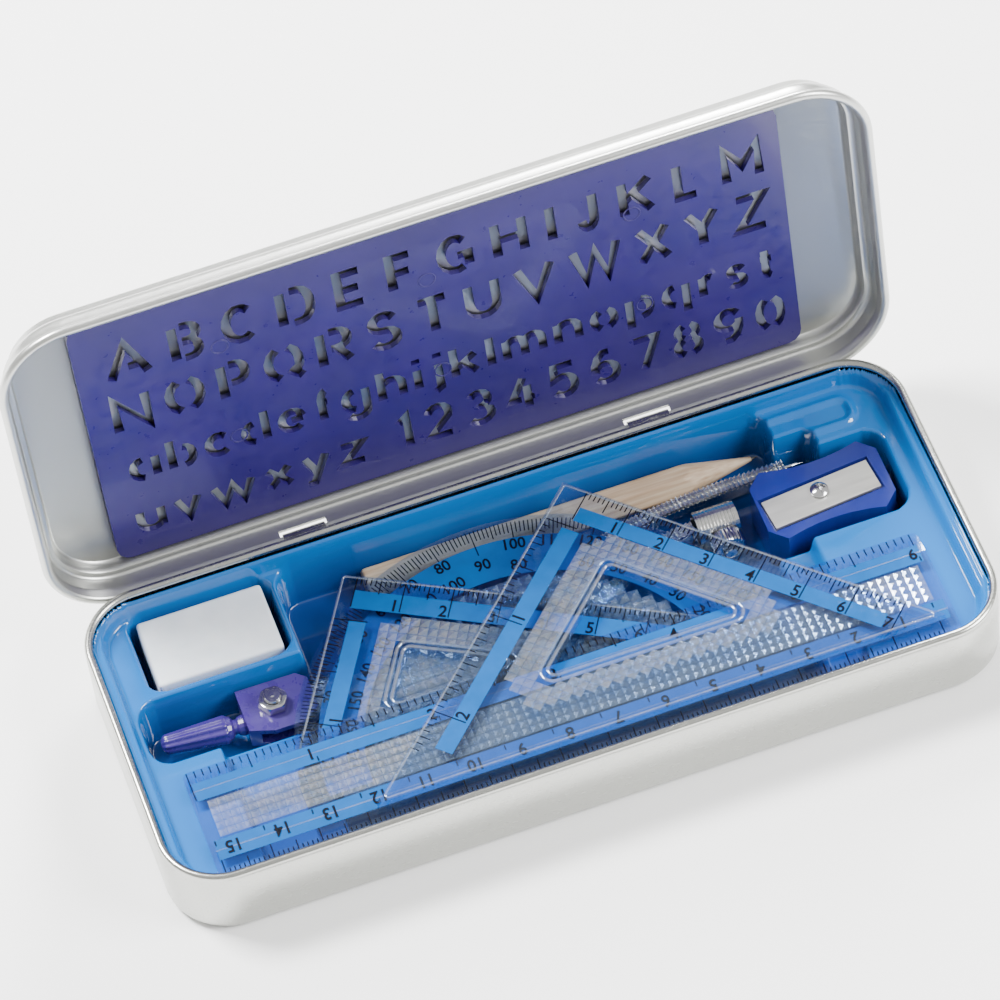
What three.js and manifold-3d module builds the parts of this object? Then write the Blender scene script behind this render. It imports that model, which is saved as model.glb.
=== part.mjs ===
// A school geometry set in a shallow hinged tin, modelled open.
// Millimetres: +X along the tin, +Y towards the hinge, +Z up, from the middle of the underside.
import * as THREE from 'three';
import { mergeVertices } from 'three/addons/utils/BufferGeometryUtils.js';
import Module from 'manifold-3d';

const wasm = await Module();
wasm.setup();

// --- Driving dimensions ---------------------------------------------------------------------------------

const GAP = 0.3; // left between pieces that touch

const BASE = { length: 175, width: 73.3, height: 18.8, corner: 13, foot: 2.2, sheet: 0.6, bead: 0.85 };
const LID_FIT = 0.6; // between the base's wall and the lid's skirt
const LID = { sheet: 0.55, beadRadius: 1, step: 2.8, ledge: 1.5 };
const HINGE = { y: 38.5, z: 14.4, openDeg: 96.5, tabX: 37, tabWidth: 9, tabSheet: 0.5 };

const TRAY = { sheet: 0.6, inset: 2.1, flangeZ: 16.4, ledgeZ: 13.2, draft: 0.4 };
const TRAY_BORDER = { halfLength: 83.5, halfWidth: 33.9, corner: 8.5 };

const PENCIL = { backX: -28.3, woodEndX: 52.2, tipX: 56.4, coneX: 37, y: 29, z: 5, across: 6.4, lead: 2 };
const PIVOT = { x: -55, y: 5.6 };
const BOLT = { radius: 1.5, hole: 1.8 };
const LEG = { width: 4.2, low: 3.9, high: 7.1, eyeRadius: 3.2, neckLength: 10.5 };
const NEEDLE = { x: 58.4, y: 23.8, z: 5.5, radius: 0.6, tipX: 64.6 };
const CLAMP = {
  x: 38.3, y: 16.2, z: 5.4, length: 8.7, bore: 3, tube: 3.5, studX: 43.2, stud: 1.2, studEnd: 7.9,
};
const CLAMP_NUT = { low: 8.6, high: 12.4, radius: 3.6, recess: 2.7, teeth: 20 };

const SHARPENER = {
  x: 64, y: 10.6, length: 27.4, width: 17.6, bottom: 1.8, top: 13, waist: 1.5, chamfer: 3.2,
};
const BLADE = { length: 23.4, width: 7.2, thickness: 0.7, tiltDeg: 5 };
const ERASER = { x: -62.3, y: 23.8, length: 26.4, width: 16.6, low: 2.9, high: 13 };

const PROTRACTOR = { x: -5.5, y: -20.7, radius: 51, strip: 9.3, low: 9.3, thickness: 1.5 };
const SQUARE_60 = { x: -33, y: 28, height: 39, low: 11.1, thickness: 1.8 };
const RULER = {
  x: -0.3, y: -20.2, length: 155, width: 25.8, low: 13.5, thickness: 1.9, bevel: 0.9, corner: 1.5,
};
const SQUARE_45 = { x: 15.2, y: 29.1, height: 59.5, low: 15.8, thickness: 1.9 };

const STENCIL = { x: -0.7, length: 147, width: 67, thickness: 1.3, corner: 3 };

// --- Solids ---------------------------------------------------------------------------------------------

const UP = new THREE.Vector3(0, 0, 1);

/** Turns a closed three.js geometry into a solid that can be cut and joined. */
function solid(geometry) {
  const bare = geometry.clone();
  bare.deleteAttribute('normal');
  bare.deleteAttribute('uv');
  const merged = mergeVertices(bare, 1e-4);
  return new wasm.Manifold(new wasm.Mesh({
    numProp: 3,
    vertProperties: new Float32Array(merged.attributes.position.array),
    triVerts: new Uint32Array(merged.index.array),
  }));
}

/** Turns a solid back into a geometry. */
function geometryOf(body) {
  const { vertProperties, triVerts } = body.getMesh();
  const geometry = new THREE.BufferGeometry();
  geometry.setAttribute('position', new THREE.BufferAttribute(new Float32Array(vertProperties), 3));
  geometry.setIndex(new THREE.BufferAttribute(new Uint32Array(triVerts), 1));
  geometry.computeVertexNormals();
  return geometry;
}

const join = (...bodies) => bodies.reduce((all, next) => all.add(next));
const cut = (body, ...tools) => tools.reduce((left, tool) => left.subtract(tool), body);

/** A flat outline raised from z = low to z = high. */
function slab(shape, low, high, curveSegments = 8) {
  const options = { depth: high - low, bevelEnabled: false, curveSegments };
  const geometry = new THREE.ExtrudeGeometry(shape, options);
  return solid(geometry.translate(0, 0, low));
}

function box(x0, x1, y0, y1, z0, z1) {
  const geometry = new THREE.BoxGeometry(x1 - x0, y1 - y0, z1 - z0);
  return solid(geometry.translate((x0 + x1) / 2, (y0 + y1) / 2, (z0 + z1) / 2));
}

/** A round post standing on z = low. */
function post(x, y, radius, low, high, sides = 16) {
  const geometry = new THREE.CylinderGeometry(radius, radius, high - low, sides).rotateX(Math.PI / 2);
  return solid(geometry.translate(x, y, (low + high) / 2));
}

/** A body turned about a line along +X: the profile lists [x, radius] from the axis to the axis. */
function turned(profile, y, z, sides = 16) {
  const points = profile.map(([x, radius]) => new THREE.Vector2(radius, x));
  const geometry = new THREE.LatheGeometry(points, sides).rotateZ(-Math.PI / 2);
  return solid(geometry.translate(0, y, z));
}

/** A plain round rod along +X. */
function rodX(x0, x1, y, z, radius, sides = 16) {
  return turned([[x0, 0], [x0, radius], [x1, radius], [x1, 0]], y, z, sides);
}

function polygon(points) {
  return new THREE.Shape(points.map(([x, y]) => new THREE.Vector2(x, y)));
}

/** The corners of a rounded rectangle, anticlockwise from +X, as one ring at height z. */
function ring(length, width, radius, z, steps, x = 0, y = 0) {
  const points = [];
  for (let quarter = 0; quarter < 4; quarter += 1) {
    const centreX = (quarter === 0 || quarter === 3 ? 1 : -1) * (length / 2 - radius);
    const centreY = (quarter < 2 ? 1 : -1) * (width / 2 - radius);
    for (let i = 0; i <= steps; i += 1) {
      const angle = (quarter + i / steps) * (Math.PI / 2);
      points.push([x + centreX + radius * Math.cos(angle), y + centreY + radius * Math.sin(angle), z]);
    }
  }
  return points;
}

/** A solid through a stack of rings with equal counts; the first is closed below and the last above. */
function loft(rings) {
  const count = rings[0].length;
  const index = [];
  for (let i = 1; i < count - 1; i += 1) {
    index.push(0, i + 1, i);
    const last = (rings.length - 1) * count;
    index.push(last, last + i, last + i + 1);
  }
  for (let row = 0; row < rings.length - 1; row += 1) {
    for (let i = 0; i < count; i += 1) {
      const a = row * count + i;
      const b = row * count + ((i + 1) % count);
      index.push(a, b, b + count, a, b + count, a + count);
    }
  }
  const geometry = new THREE.BufferGeometry();
  geometry.setAttribute('position', new THREE.Float32BufferAttribute(rings.flat(2), 3));
  geometry.setIndex(index);
  return solid(geometry);
}

/** A rounded rectangular shell: the profile lists [inset from the outline, z] from underside to inside. */
function shell({ length, width, corner }, profile, steps = 6) {
  return loft(profile.map(([inset, z]) => (
    ring(length - 2 * inset, width - 2 * inset, corner - inset, z, steps)
  )));
}

/** Points [inset, z] on a circular arc, angles in degrees from the outline side (0) over the top (90). */
function arcProfile(inset, z, radius, fromDeg, toDeg, steps) {
  return Array.from({ length: steps + 1 }, (_, i) => {
    const angle = THREE.MathUtils.degToRad(fromDeg + (toDeg - fromDeg) * (i / steps));
    return [inset - radius * Math.cos(angle), z + radius * Math.sin(angle)];
  });
}

// --- Tin ------------------------------------------------------------------------------------------------

/** One hinge tab: a strip of the base's wall curled round the lid's rolled edge, which is its pin. */
function hingeTab(x) {
  const inner = LID.beadRadius + GAP;
  const outer = inner + HINGE.tabSheet;
  const root = BASE.width / 2 - BASE.sheet / 2 - HINGE.y;
  const curl = THREE.MathUtils.degToRad(-135);
  const shape = new THREE.Shape();
  shape.moveTo(root, inner);
  shape.lineTo(0, inner);
  shape.absarc(0, 0, inner, Math.PI / 2, curl, true);
  shape.lineTo(outer * Math.cos(curl), outer * Math.sin(curl));
  shape.absarc(0, 0, outer, curl, Math.PI / 2, false);
  shape.lineTo(root, outer);
  const geometry = new THREE.ExtrudeGeometry(shape, {
    depth: HINGE.tabWidth, bevelEnabled: false, curveSegments: 9,
  });
  const toWorld = new THREE.Matrix4().makeBasis(
    new THREE.Vector3(0, 1, 0), UP, new THREE.Vector3(1, 0, 0),
  );
  geometry.applyMatrix4(toWorld).translate(x - HINGE.tabWidth / 2, HINGE.y, HINGE.z);
  return solid(geometry);
}

function tinBase() {
  const { sheet, foot, bead, height } = BASE;
  const beadZ = height - bead;
  const profile = [
    ...arcProfile(foot, foot, foot, -90, 0, 3),
    ...arcProfile(bead, beadZ, bead, 0, 225, 6),
    [sheet, beadZ - 1.4],
    ...arcProfile(foot, foot, foot - sheet, 0, -90, 3),
  ];
  return join(shell(BASE, profile), hingeTab(-HINGE.tabX), hingeTab(HINGE.tabX));
}

/** The closed lid's outline, measured round its rolled edge. */
function lidOutline() {
  const overhang = LID_FIT + LID.sheet + 1.75;
  return {
    length: BASE.length + 2 * overhang,
    width: 2 * (HINGE.y + LID.beadRadius),
    corner: BASE.corner + overhang,
  };
}

const LEDGE_Z = BASE.height + 0.4; // the closed lid's lower ledge, just over the base's rim
const PANEL_Z = LEDGE_Z + LID.step; // the raised panel's inner face
const PANEL_INSET = LID.sheet + 1.75 + LID.ledge + 0.5; // from the outline to the panel's edge

/** The slots in the lid's back skirt for the hinge tabs; the rolled edge itself stays whole. */
function hingeSlots() {
  const reach = 2.3;
  const rod = (x) => {
    const geometry = new THREE.CylinderGeometry(LID.beadRadius, LID.beadRadius, HINGE.tabWidth + 2, 24);
    return solid(geometry.rotateZ(Math.PI / 2).translate(x, HINGE.y, HINGE.z));
  };
  return [-HINGE.tabX, HINGE.tabX].map((x) => {
    const half = HINGE.tabWidth / 2 + 0.5;
    const opening = box(x - half, x + half, HINGE.y - reach, HINGE.y - 0.1, HINGE.z - 1.5, HINGE.z + reach);
    return cut(opening, rod(x));
  });
}

/** The lid in its closed place. */
function tinLid() {
  const skirtInner = LID.sheet + 1.75;
  const skirtOuter = 1.75;
  const profile = [
    [PANEL_INSET, PANEL_Z],
    [skirtInner + LID.ledge, LEDGE_Z],
    [skirtInner + 0.6, LEDGE_Z],
    [skirtInner, LEDGE_Z - 0.6],
    [skirtInner, HINGE.z + 0.4],
    ...arcProfile(LID.beadRadius, HINGE.z, LID.beadRadius, 180, 360 + 120, 10),
    [skirtOuter, LEDGE_Z - 1],
    [skirtOuter + 0.35, LEDGE_Z + 0.1],
    [skirtOuter + 1.2, LEDGE_Z + LID.sheet],
    [skirtInner + LID.ledge - LID.sheet, LEDGE_Z + LID.sheet],
    [PANEL_INSET - LID.sheet, PANEL_Z + LID.sheet],
  ];
  return cut(shell(lidOutline(), profile), ...hingeSlots());
}

// --- Tray -----------------------------------------------------------------------------------------------

// Each pocket: its edges at the top, its floor and its corner radius.
const POCKETS = [
  { x0: -68, x1: 58, y0: -33.6, y1: 3, floor: 9, corner: 3 }, // shelf that the protractor rests on
  { x0: -50, x1: 50.6, y0: -33.4, y1: 3, floor: 1.5, corner: 4 }, // deep well, front half
  { x0: -46, x1: 50.6, y0: -4, y1: 33.3, floor: 1.5, corner: 4 }, // deep well, back half
  { x0: -81.5, x1: -40, y0: -2.6, y1: 12.4, floor: 1.5, corner: 3 }, // compass head and handle
  { x0: -77.2, x1: -47.6, y0: 14.5, y1: 33.2, floor: 2.6, corner: 2.5 }, // eraser
  { x0: 45, x1: 79.6, y0: 0.6, y1: 21.2, floor: 1.5, corner: 3 }, // sharpener
  { x0: 45, x1: 67, y0: 18, y1: 26, floor: 1.5, corner: 2.5 }, // needle point
  { x0: 45, x1: 58.8, y0: 20, y1: 33.3, floor: 1.5, corner: 2.5 }, // pencil point
];

/** One pocket, grown by the sheet's thickness if it is the underside. */
function pocket({ x0, x1, y0, y1, floor, corner }, sheet) {
  const top = sheet ? TRAY.ledgeZ - sheet / 2 : TRAY.ledgeZ + 0.2;
  const level = (grow, z) => (
    ring(x1 - x0 + 2 * grow, y1 - y0 + 2 * grow, corner + grow, z, 3, (x0 + x1) / 2, (y0 + y1) / 2)
  );
  return loft([level(sheet - TRAY.draft, floor - sheet), level(sheet, top)]);
}

/** The border wall between the ledge and the flange, with its floor at the ledge. */
function border(sheet) {
  const { halfLength, halfWidth, corner } = TRAY_BORDER;
  const top = sheet ? TRAY.flangeZ - sheet / 2 : TRAY.flangeZ + 0.2;
  const level = (grow, z) => ring(2 * (halfLength + grow), 2 * (halfWidth + grow), corner + grow, z, 4);
  return loft([level(sheet - TRAY.draft, TRAY.ledgeZ - sheet), level(sheet, top)]);
}

function tray() {
  const { sheet, inset, flangeZ } = TRAY;
  const outline = (z) => (
    ring(BASE.length - 2 * inset, BASE.width - 2 * inset, BASE.corner - inset, z, 4)
  );
  const flange = loft([outline(flangeZ - sheet), outline(flangeZ)]);
  const outside = join(flange, border(sheet), ...POCKETS.map((p) => pocket(p, sheet)));
  return cut(outside, border(0), ...POCKETS.map((p) => pocket(p, 0)));
}

// --- Eraser and pencil ----------------------------------------------------------------------------------

function eraser() {
  const { x, y, length, width, low, high } = ERASER;
  const edge = 0.5;
  const level = (inset, z) => ring(length - 2 * inset, width - 2 * inset, 0.9 - inset, z, 2, x, y);
  return loft([level(edge, low), level(0, low + edge), level(0, high - edge), level(edge, high)]);
}

/** The six-sided wooden pencil, sharpened at +X, with the bore for its lead. */
function pencilWood() {
  const { backX, woodEndX, coneX, y, z, across, lead } = PENCIL;
  const corners = across / 2 / Math.cos(Math.PI / 6);
  const hexagon = new THREE.CylinderGeometry(corners, corners, woodEndX - backX, 6);
  hexagon.rotateZ(Math.PI / 2).rotateX(Math.PI / 6).translate((backX + woodEndX) / 2, y, z);
  const widest = corners + 1;
  const point = turned([
    [backX - 1, 0], [backX - 1, widest], [coneX - 3, widest], [woodEndX, 1.6], [woodEndX, 0],
  ], y, z, 20);
  return cut(solid(hexagon).intersect(point), rodX(backX - 1, woodEndX + 1, y, z, lead / 2 + GAP, 12));
}

function pencilLead() {
  const { backX, woodEndX, tipX, y, z, lead } = PENCIL;
  const r = lead / 2;
  return turned([[backX, 0], [backX, r], [woodEndX + 0.5, r], [tipX, 0.15], [tipX, 0]], y, z, 12);
}

// --- Compass --------------------------------------------------------------------------------------------

const HEAD = { low: 3.6, lowCheek: 4.8, highCheek: 7.7, high: 9, left: -61.5, right: -46.8 };

/** The handle: a tapered grip, a short neck and a ball, on a slightly turned axis. */
function compassHandle() {
  const profile = [
    [-78.9, 0], [-78.7, 1.1], [-77.9, 1.75], [-65.2, 2.65], [-64.4, 2.3], [-63.9, 1.6], [-63.3, 1.5],
    [-62.9, 1.9], [-61.9, 2.2], [-60.9, 1.9], [-60.4, 0],
  ];
  return turned(profile.map(([x, radius]) => [x - HEAD.left, radius]), 0, 0, 16)
    .rotate([0, 0, -5])
    .translate([HEAD.left, 4.9, 6.3]);
}

function compassHead() {
  const { low, lowCheek, highCheek, high, left, right } = HEAD;
  const outline = polygon([
    [left, 1.3], [left + 5, -0.5], [right - 3.4, -0.5], [right, 2],
    [right, 9.4], [right - 2, 11.2], [left, 11.4],
  ]);
  const block = slab(outline, low, high);
  const fork = box(left + 2.2, right + 1, -2, 13, lowCheek, highCheek);
  const hole = post(PIVOT.x, PIVOT.y, BOLT.hole, low - 1, high + 1);
  return cut(join(block, compassHandle()), fork, hole);
}

/** The bolt that the legs turn on: a round head under the plastic, the shank through both legs. */
function compassBolt() {
  return join(
    post(PIVOT.x, PIVOT.y, 2.9, 1.9, HEAD.low - GAP),
    post(PIVOT.x, PIVOT.y, BOLT.radius, 2.5, 12),
  );
}

function compassNut() {
  const nut = post(PIVOT.x, PIVOT.y, 3.1, HEAD.high + GAP, HEAD.high + 2.3, 6);
  return cut(nut, post(PIVOT.x, PIVOT.y, BOLT.hole, HEAD.high, HEAD.high + 4));
}

/** The outline of a pressed leg: a smooth centre line with a width that tapers from start to end. */
function legOutline(points, startWidth, endWidth, steps = 12) {
  const line = new THREE.SplineCurve(points.map(([x, y]) => new THREE.Vector2(x, y)));
  const side = (sign) => Array.from({ length: steps + 1 }, (_, i) => {
    const t = i / steps;
    const at = line.getPoint(t);
    const along = line.getTangent(t);
    const half = (sign * (startWidth + (endWidth - startWidth) * t)) / 2;
    return [at.x - along.y * half, at.y + along.x * half];
  });
  return polygon([...side(-1), ...side(1).reverse()]);
}

/** The flat eye and neck that join a leg to the bolt. */
function legEye(y, low, high) {
  const reach = PIVOT.x + LEG.neckLength + 1;
  const neck = box(PIVOT.x, reach, y - LEG.width / 2 + 0.4, y + LEG.width / 2 - 0.4, low, high);
  const eye = join(post(PIVOT.x, PIVOT.y, LEG.eyeRadius, low, high, 20), neck);
  return cut(eye, post(PIVOT.x, PIVOT.y, BOLT.hole, low - 1, high + 1));
}

function needleLeg() {
  const start = PIVOT.x + LEG.neckLength;
  const { x, y, z, radius } = NEEDLE;
  const line = [[start, 7.9], [-28, 7.9], [-12, 8.6], [26, 21.4], [x + 2, y]];
  const outline = legOutline(line, LEG.width, 3, 16);
  const socket = rodX(x - 1, x + 4, y, z, radius + GAP, 10);
  return cut(join(slab(outline, LEG.low, LEG.high), legEye(7.9, 5.1, 6.1)), socket);
}

/** The steel point in the end of the needle leg. */
function compassNeedle() {
  const { x, y, z, radius, tipX } = NEEDLE;
  return turned([[x, 0], [x, radius], [tipX - 3, radius], [tipX, 0.1], [tipX, 0]], y, z, 10);
}

function pencilLeg() {
  const start = PIVOT.x + LEG.neckLength;
  const end = CLAMP.x - GAP;
  const line = [[start, 3.4], [-20, 3.2], [8, 4.2], [29, 14.2], [end, CLAMP.y]];
  const outline = legOutline(line, LEG.width, 3.4, 16);
  const trim = box(end, end + 5, CLAMP.y - 5, CLAMP.y + 5, 0, 10);
  return cut(join(slab(outline, LEG.low, LEG.high), legEye(3.4, 6.4, 7.4)), trim);
}

/** A rod along Y, given in the clamp's height. */
function rodY(x, y0, y1, radius, sides) {
  const geometry = new THREE.CylinderGeometry(radius, radius, y1 - y0, sides);
  return solid(geometry.translate(x, (y0 + y1) / 2, CLAMP.z));
}

/** The split tube that holds a pencil, with the threaded stud its nut runs on. */
function pencilClamp() {
  const { x, y, z, length, bore, tube, studX, stud, studEnd } = CLAMP;
  const body = join(
    rodX(x, x + length, y, z, tube, 24),
    rodY(studX, studEnd, y - (bore + tube) / 2, stud, 14),
  );
  const split = box(x - 1, x + length + 1, y, y + tube + 1, z - 0.4, z + 0.4);
  return cut(body, rodX(x - 1, x + length + 1, y, z, bore, 24), split);
}

/** The knurled nut: fine teeth round its rim and a dished outer face. */
function clampNut() {
  const { low, high, radius, recess, teeth } = CLAMP_NUT;
  const outline = polygon(Array.from({ length: 2 * teeth }, (_, i) => {
    const angle = (Math.PI * i) / teeth;
    const reach = i % 2 ? radius - 0.3 : radius;
    return [reach * Math.cos(angle), reach * Math.sin(angle)];
  }));
  const geometry = new THREE.ExtrudeGeometry(outline, { depth: high - low, bevelEnabled: false });
  geometry.rotateX(Math.PI / 2).translate(CLAMP.studX, high, CLAMP.z);
  return cut(
    solid(geometry),
    rodY(CLAMP.studX, low - 1, high + 1, CLAMP.stud + GAP, 14),
    rodY(CLAMP.studX, low - 1, low + 0.7, recess, 20),
  );
}

// --- Sharpener ------------------------------------------------------------------------------------------

/** The wedge's plan: cut corners, with long sides that pull in towards the middle. */
function sharpenerOutline() {
  const { x, y, length, width, waist, chamfer } = SHARPENER;
  const halfX = length / 2;
  const halfY = width / 2;
  const shape = new THREE.Shape();
  shape.moveTo(x - halfX, y - halfY + chamfer);
  shape.lineTo(x - halfX + chamfer, y - halfY);
  shape.quadraticCurveTo(x, y - halfY + 2 * waist, x + halfX - chamfer, y - halfY);
  shape.lineTo(x + halfX, y - halfY + chamfer);
  shape.lineTo(x + halfX, y + halfY - chamfer);
  shape.lineTo(x + halfX - chamfer, y + halfY);
  shape.quadraticCurveTo(x, y + halfY - 2 * waist, x - halfX + chamfer, y + halfY);
  shape.lineTo(x - halfX, y + halfY - chamfer);
  return shape;
}

/** A rectangle on the blade's tilted axes, raised between two heights. */
function bladeBlock(length, width, low, high, offsetY = 0) {
  const block = box(-length / 2, length / 2, offsetY - width / 2, offsetY + width / 2, low, high);
  return block.rotate([0, 0, BLADE.tiltDeg]).translate([SHARPENER.x - 0.6, SHARPENER.y - 0.9, 0]);
}

function sharpenerBody() {
  const { x, y, length, bottom, top } = SHARPENER;
  const body = slab(sharpenerOutline(), bottom, top, 6);
  const recess = bladeBlock(BLADE.length + 1, BLADE.width + 1.4, top - 1.1, top + 1);
  const chipSlot = bladeBlock(BLADE.length - 4, 1.2, 7, top, -BLADE.width / 2);
  const mouth = x + length / 2;
  const cone = turned([[mouth - 22, 0], [mouth - 22, 0.9], [mouth + 1, 4.3], [mouth + 1, 0]], y, 6.6, 18);
  const screwHole = post(x - 0.7, y, 1.4, 11, top + 1, 12);
  return cut(body, recess, chipSlot, cone, screwHole);
}

function sharpenerBlade() {
  const low = SHARPENER.top - 1.1 + GAP;
  const blade = bladeBlock(BLADE.length, BLADE.width, low, low + BLADE.thickness);
  return cut(blade, post(SHARPENER.x - 0.7, SHARPENER.y, 1.4, low - 1, low + 2, 12));
}

function sharpenerScrew() {
  const { x, y, top } = SHARPENER;
  const headZ = top - 1.1 + GAP + BLADE.thickness + GAP;
  const dome = new THREE.CylinderGeometry(1.3, 1.9, 0.9, 16).rotateX(Math.PI / 2);
  dome.translate(x - 0.7, y, headZ + 0.45);
  const cross = [box(-1.3, 1.3, -0.22, 0.22, 0, 2), box(-0.22, 0.22, -1.3, 1.3, 0, 2)]
    .map((slot) => slot.translate([x - 0.7, y, headZ + 0.5]));
  return cut(join(solid(dome), post(x - 0.7, y, 1, 11.3, headZ + 0.2, 12)), ...cross);
}

// --- Drawing aids ---------------------------------------------------------------------------------------

function protractor() {
  const { x, y, radius, strip, low, thickness } = PROTRACTOR;
  const shape = new THREE.Shape();
  shape.moveTo(x - radius, y - strip);
  shape.lineTo(x + radius, y - strip);
  shape.lineTo(x + radius, y);
  shape.absarc(x, y, radius, 0, Math.PI, false);
  return slab(shape, low, low + thickness, 36);
}

/** A triangle given by its right-angled corner and the angles of its two legs below the X axis. */
function squareCorners(x, y, height, leftDeg, rightDeg) {
  const run = (deg) => height / Math.tan(THREE.MathUtils.degToRad(deg));
  return [[x, y], [x - run(leftDeg), y - height], [x + run(rightDeg), y - height]];
}

/** A set square with its window; the window is the same triangle, smaller, set in from the long side. */
function setSquare({ x, y, height, low, thickness }, leftDeg, rightDeg, hole) {
  const shape = polygon(squareCorners(x, y, height, leftDeg, rightDeg));
  const bottom = y - height + hole.rise;
  const window = squareCorners(x + hole.shift, bottom + hole.height, hole.height, leftDeg, rightDeg);
  shape.holes.push(polygon(window));
  return slab(shape, low, low + thickness);
}

const setSquare60 = () => setSquare(SQUARE_60, 60, 30, { rise: 5, height: 11.8, shift: 6.4 });
const setSquare45 = () => setSquare(SQUARE_45, 45, 45, { rise: 15.8, height: 20.7, shift: 1.6 });

/** The ruler: both long edges are bevelled down to a thin drawing edge, and the corners are rounded. */
function ruler() {
  const { x, y, length, width, low, thickness, bevel, corner } = RULER;
  const half = width / 2;
  const flat = half - 5.5;
  const edge = thickness - bevel;
  const section = polygon([
    [-half, 0], [half, 0], [half, edge], [flat, thickness], [-flat, thickness], [-half, edge],
  ]);
  const geometry = new THREE.ExtrudeGeometry(section, { depth: length, bevelEnabled: false });
  const toWorld = new THREE.Matrix4().makeBasis(
    new THREE.Vector3(0, 1, 0), UP, new THREE.Vector3(1, 0, 0),
  );
  const bar = solid(geometry.applyMatrix4(toWorld).translate(x - length / 2, y, low));
  const level = (z) => ring(length, width, corner, z, 4, x, y);
  return bar.intersect(loft([level(low - 1), level(low + thickness + 1)]));
}

// --- Letter stencil -------------------------------------------------------------------------------------

// Strokes are lists of points in a unit cell; 1 is the cap height, or the x-height for small letters.
const path = (...numbers) => {
  const points = [];
  for (let i = 0; i < numbers.length; i += 2) points.push([numbers[i], numbers[i + 1]]);
  return points;
};

/** Points on an ellipse, every 24 degrees or so. */
function arc(cx, cy, rx, ry, fromDeg, toDeg) {
  const steps = Math.max(2, Math.round(Math.abs(toDeg - fromDeg) / 26));
  return Array.from({ length: steps + 1 }, (_, i) => {
    const angle = THREE.MathUtils.degToRad(fromDeg + ((toDeg - fromDeg) * i) / steps);
    return [cx + rx * Math.cos(angle), cy + ry * Math.sin(angle)];
  });
}

/** The two halves of a round letter, with a bridge left at the top and the bottom. */
const halves = (cx, cy, rx, ry, open = 22) => [
  arc(cx, cy, rx, ry, 90 + open, 270 - open), arc(cx, cy, rx, ry, open - 90, 90 - open),
];
const stem = (x, top = 1, bottom = 0) => path(x, bottom, x, top);
/** A bowl that starts clear of its stem, so that what it encloses stays joined to the plate. */
const bowl = (top, bottom) => {
  const middle = (top + bottom) / 2;
  const half = (top - bottom) / 2;
  return [[0.36, top], ...arc(0.6, middle, 0.4, half, 90, -90), [0.36, bottom]];
};

const CAPITALS = {
  A: [path(0, 0, 0.5, 1, 1, 0), path(0.5, 0.3, 0.85, 0.3)],
  B: [stem(0), bowl(1, 0.54), bowl(0.5, 0)],
  C: [arc(0.52, 0.5, 0.52, 0.5, 48, 312)],
  D: [stem(0), bowl(1, 0)],
  E: [path(0.9, 1, 0, 1, 0, 0, 0.9, 0), path(0, 0.5, 0.8, 0.5)],
  F: [path(0.9, 1, 0, 1, 0, 0), path(0, 0.5, 0.8, 0.5)],
  G: [arc(0.52, 0.5, 0.52, 0.5, 48, 300), path(0.6, 0.45, 1, 0.45, 1, 0.1)],
  H: [stem(0), stem(1), path(0, 0.5, 1, 0.5)],
  I: [stem(0)],
  J: [[[0.9, 1], ...arc(0.5, 0.3, 0.4, 0.3, 0, -170)]],
  K: [stem(0), path(1, 1, 0, 0.4), path(0.36, 0.62, 1, 0)],
  L: [path(0, 1, 0, 0, 0.85, 0)],
  M: [path(0, 0, 0, 1, 0.5, 0.4, 1, 1, 1, 0)],
  N: [path(0, 0, 0, 1, 1, 0, 1, 1)],
  O: halves(0.5, 0.5, 0.52, 0.5),
  P: [stem(0), bowl(1, 0.42)],
  Q: [...halves(0.5, 0.5, 0.52, 0.5), path(0.66, 0.26, 1.05, -0.05)],
  R: [stem(0), bowl(1, 0.46), path(0.55, 0.46, 1, 0)],
  S: [[...arc(0.5, 0.75, 0.42, 0.25, 25, 250), ...arc(0.5, 0.25, 0.45, 0.26, 80, -155)]],
  T: [path(0, 1, 1, 1), stem(0.5)],
  U: [[[0, 1], ...arc(0.5, 0.35, 0.5, 0.35, 180, 360), [1, 1]]],
  V: [path(0, 1, 0.5, 0, 1, 1)],
  W: [path(0, 1, 0.25, 0, 0.5, 0.9, 0.75, 0, 1, 1)],
  X: [path(0, 0, 1, 1), path(0, 1, 1, 0)],
  Y: [path(0, 1, 0.5, 0.48, 1, 1), path(0.5, 0.48, 0.5, 0)],
  Z: [path(0, 1, 1, 1, 0, 0, 1, 0)],
};
const arch = (x0, x1) => {
  const middle = (x0 + x1) / 2;
  return [...arc(middle, 0.62, (x1 - x0) / 2, 0.38, 150, 0), [x1, 0]];
};
const LEFT_BOWL = arc(0.42, 0.5, 0.42, 0.5, 88, 272);
const RIGHT_BOWL = arc(0.58, 0.5, 0.42, 0.5, 92, -92);
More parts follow.
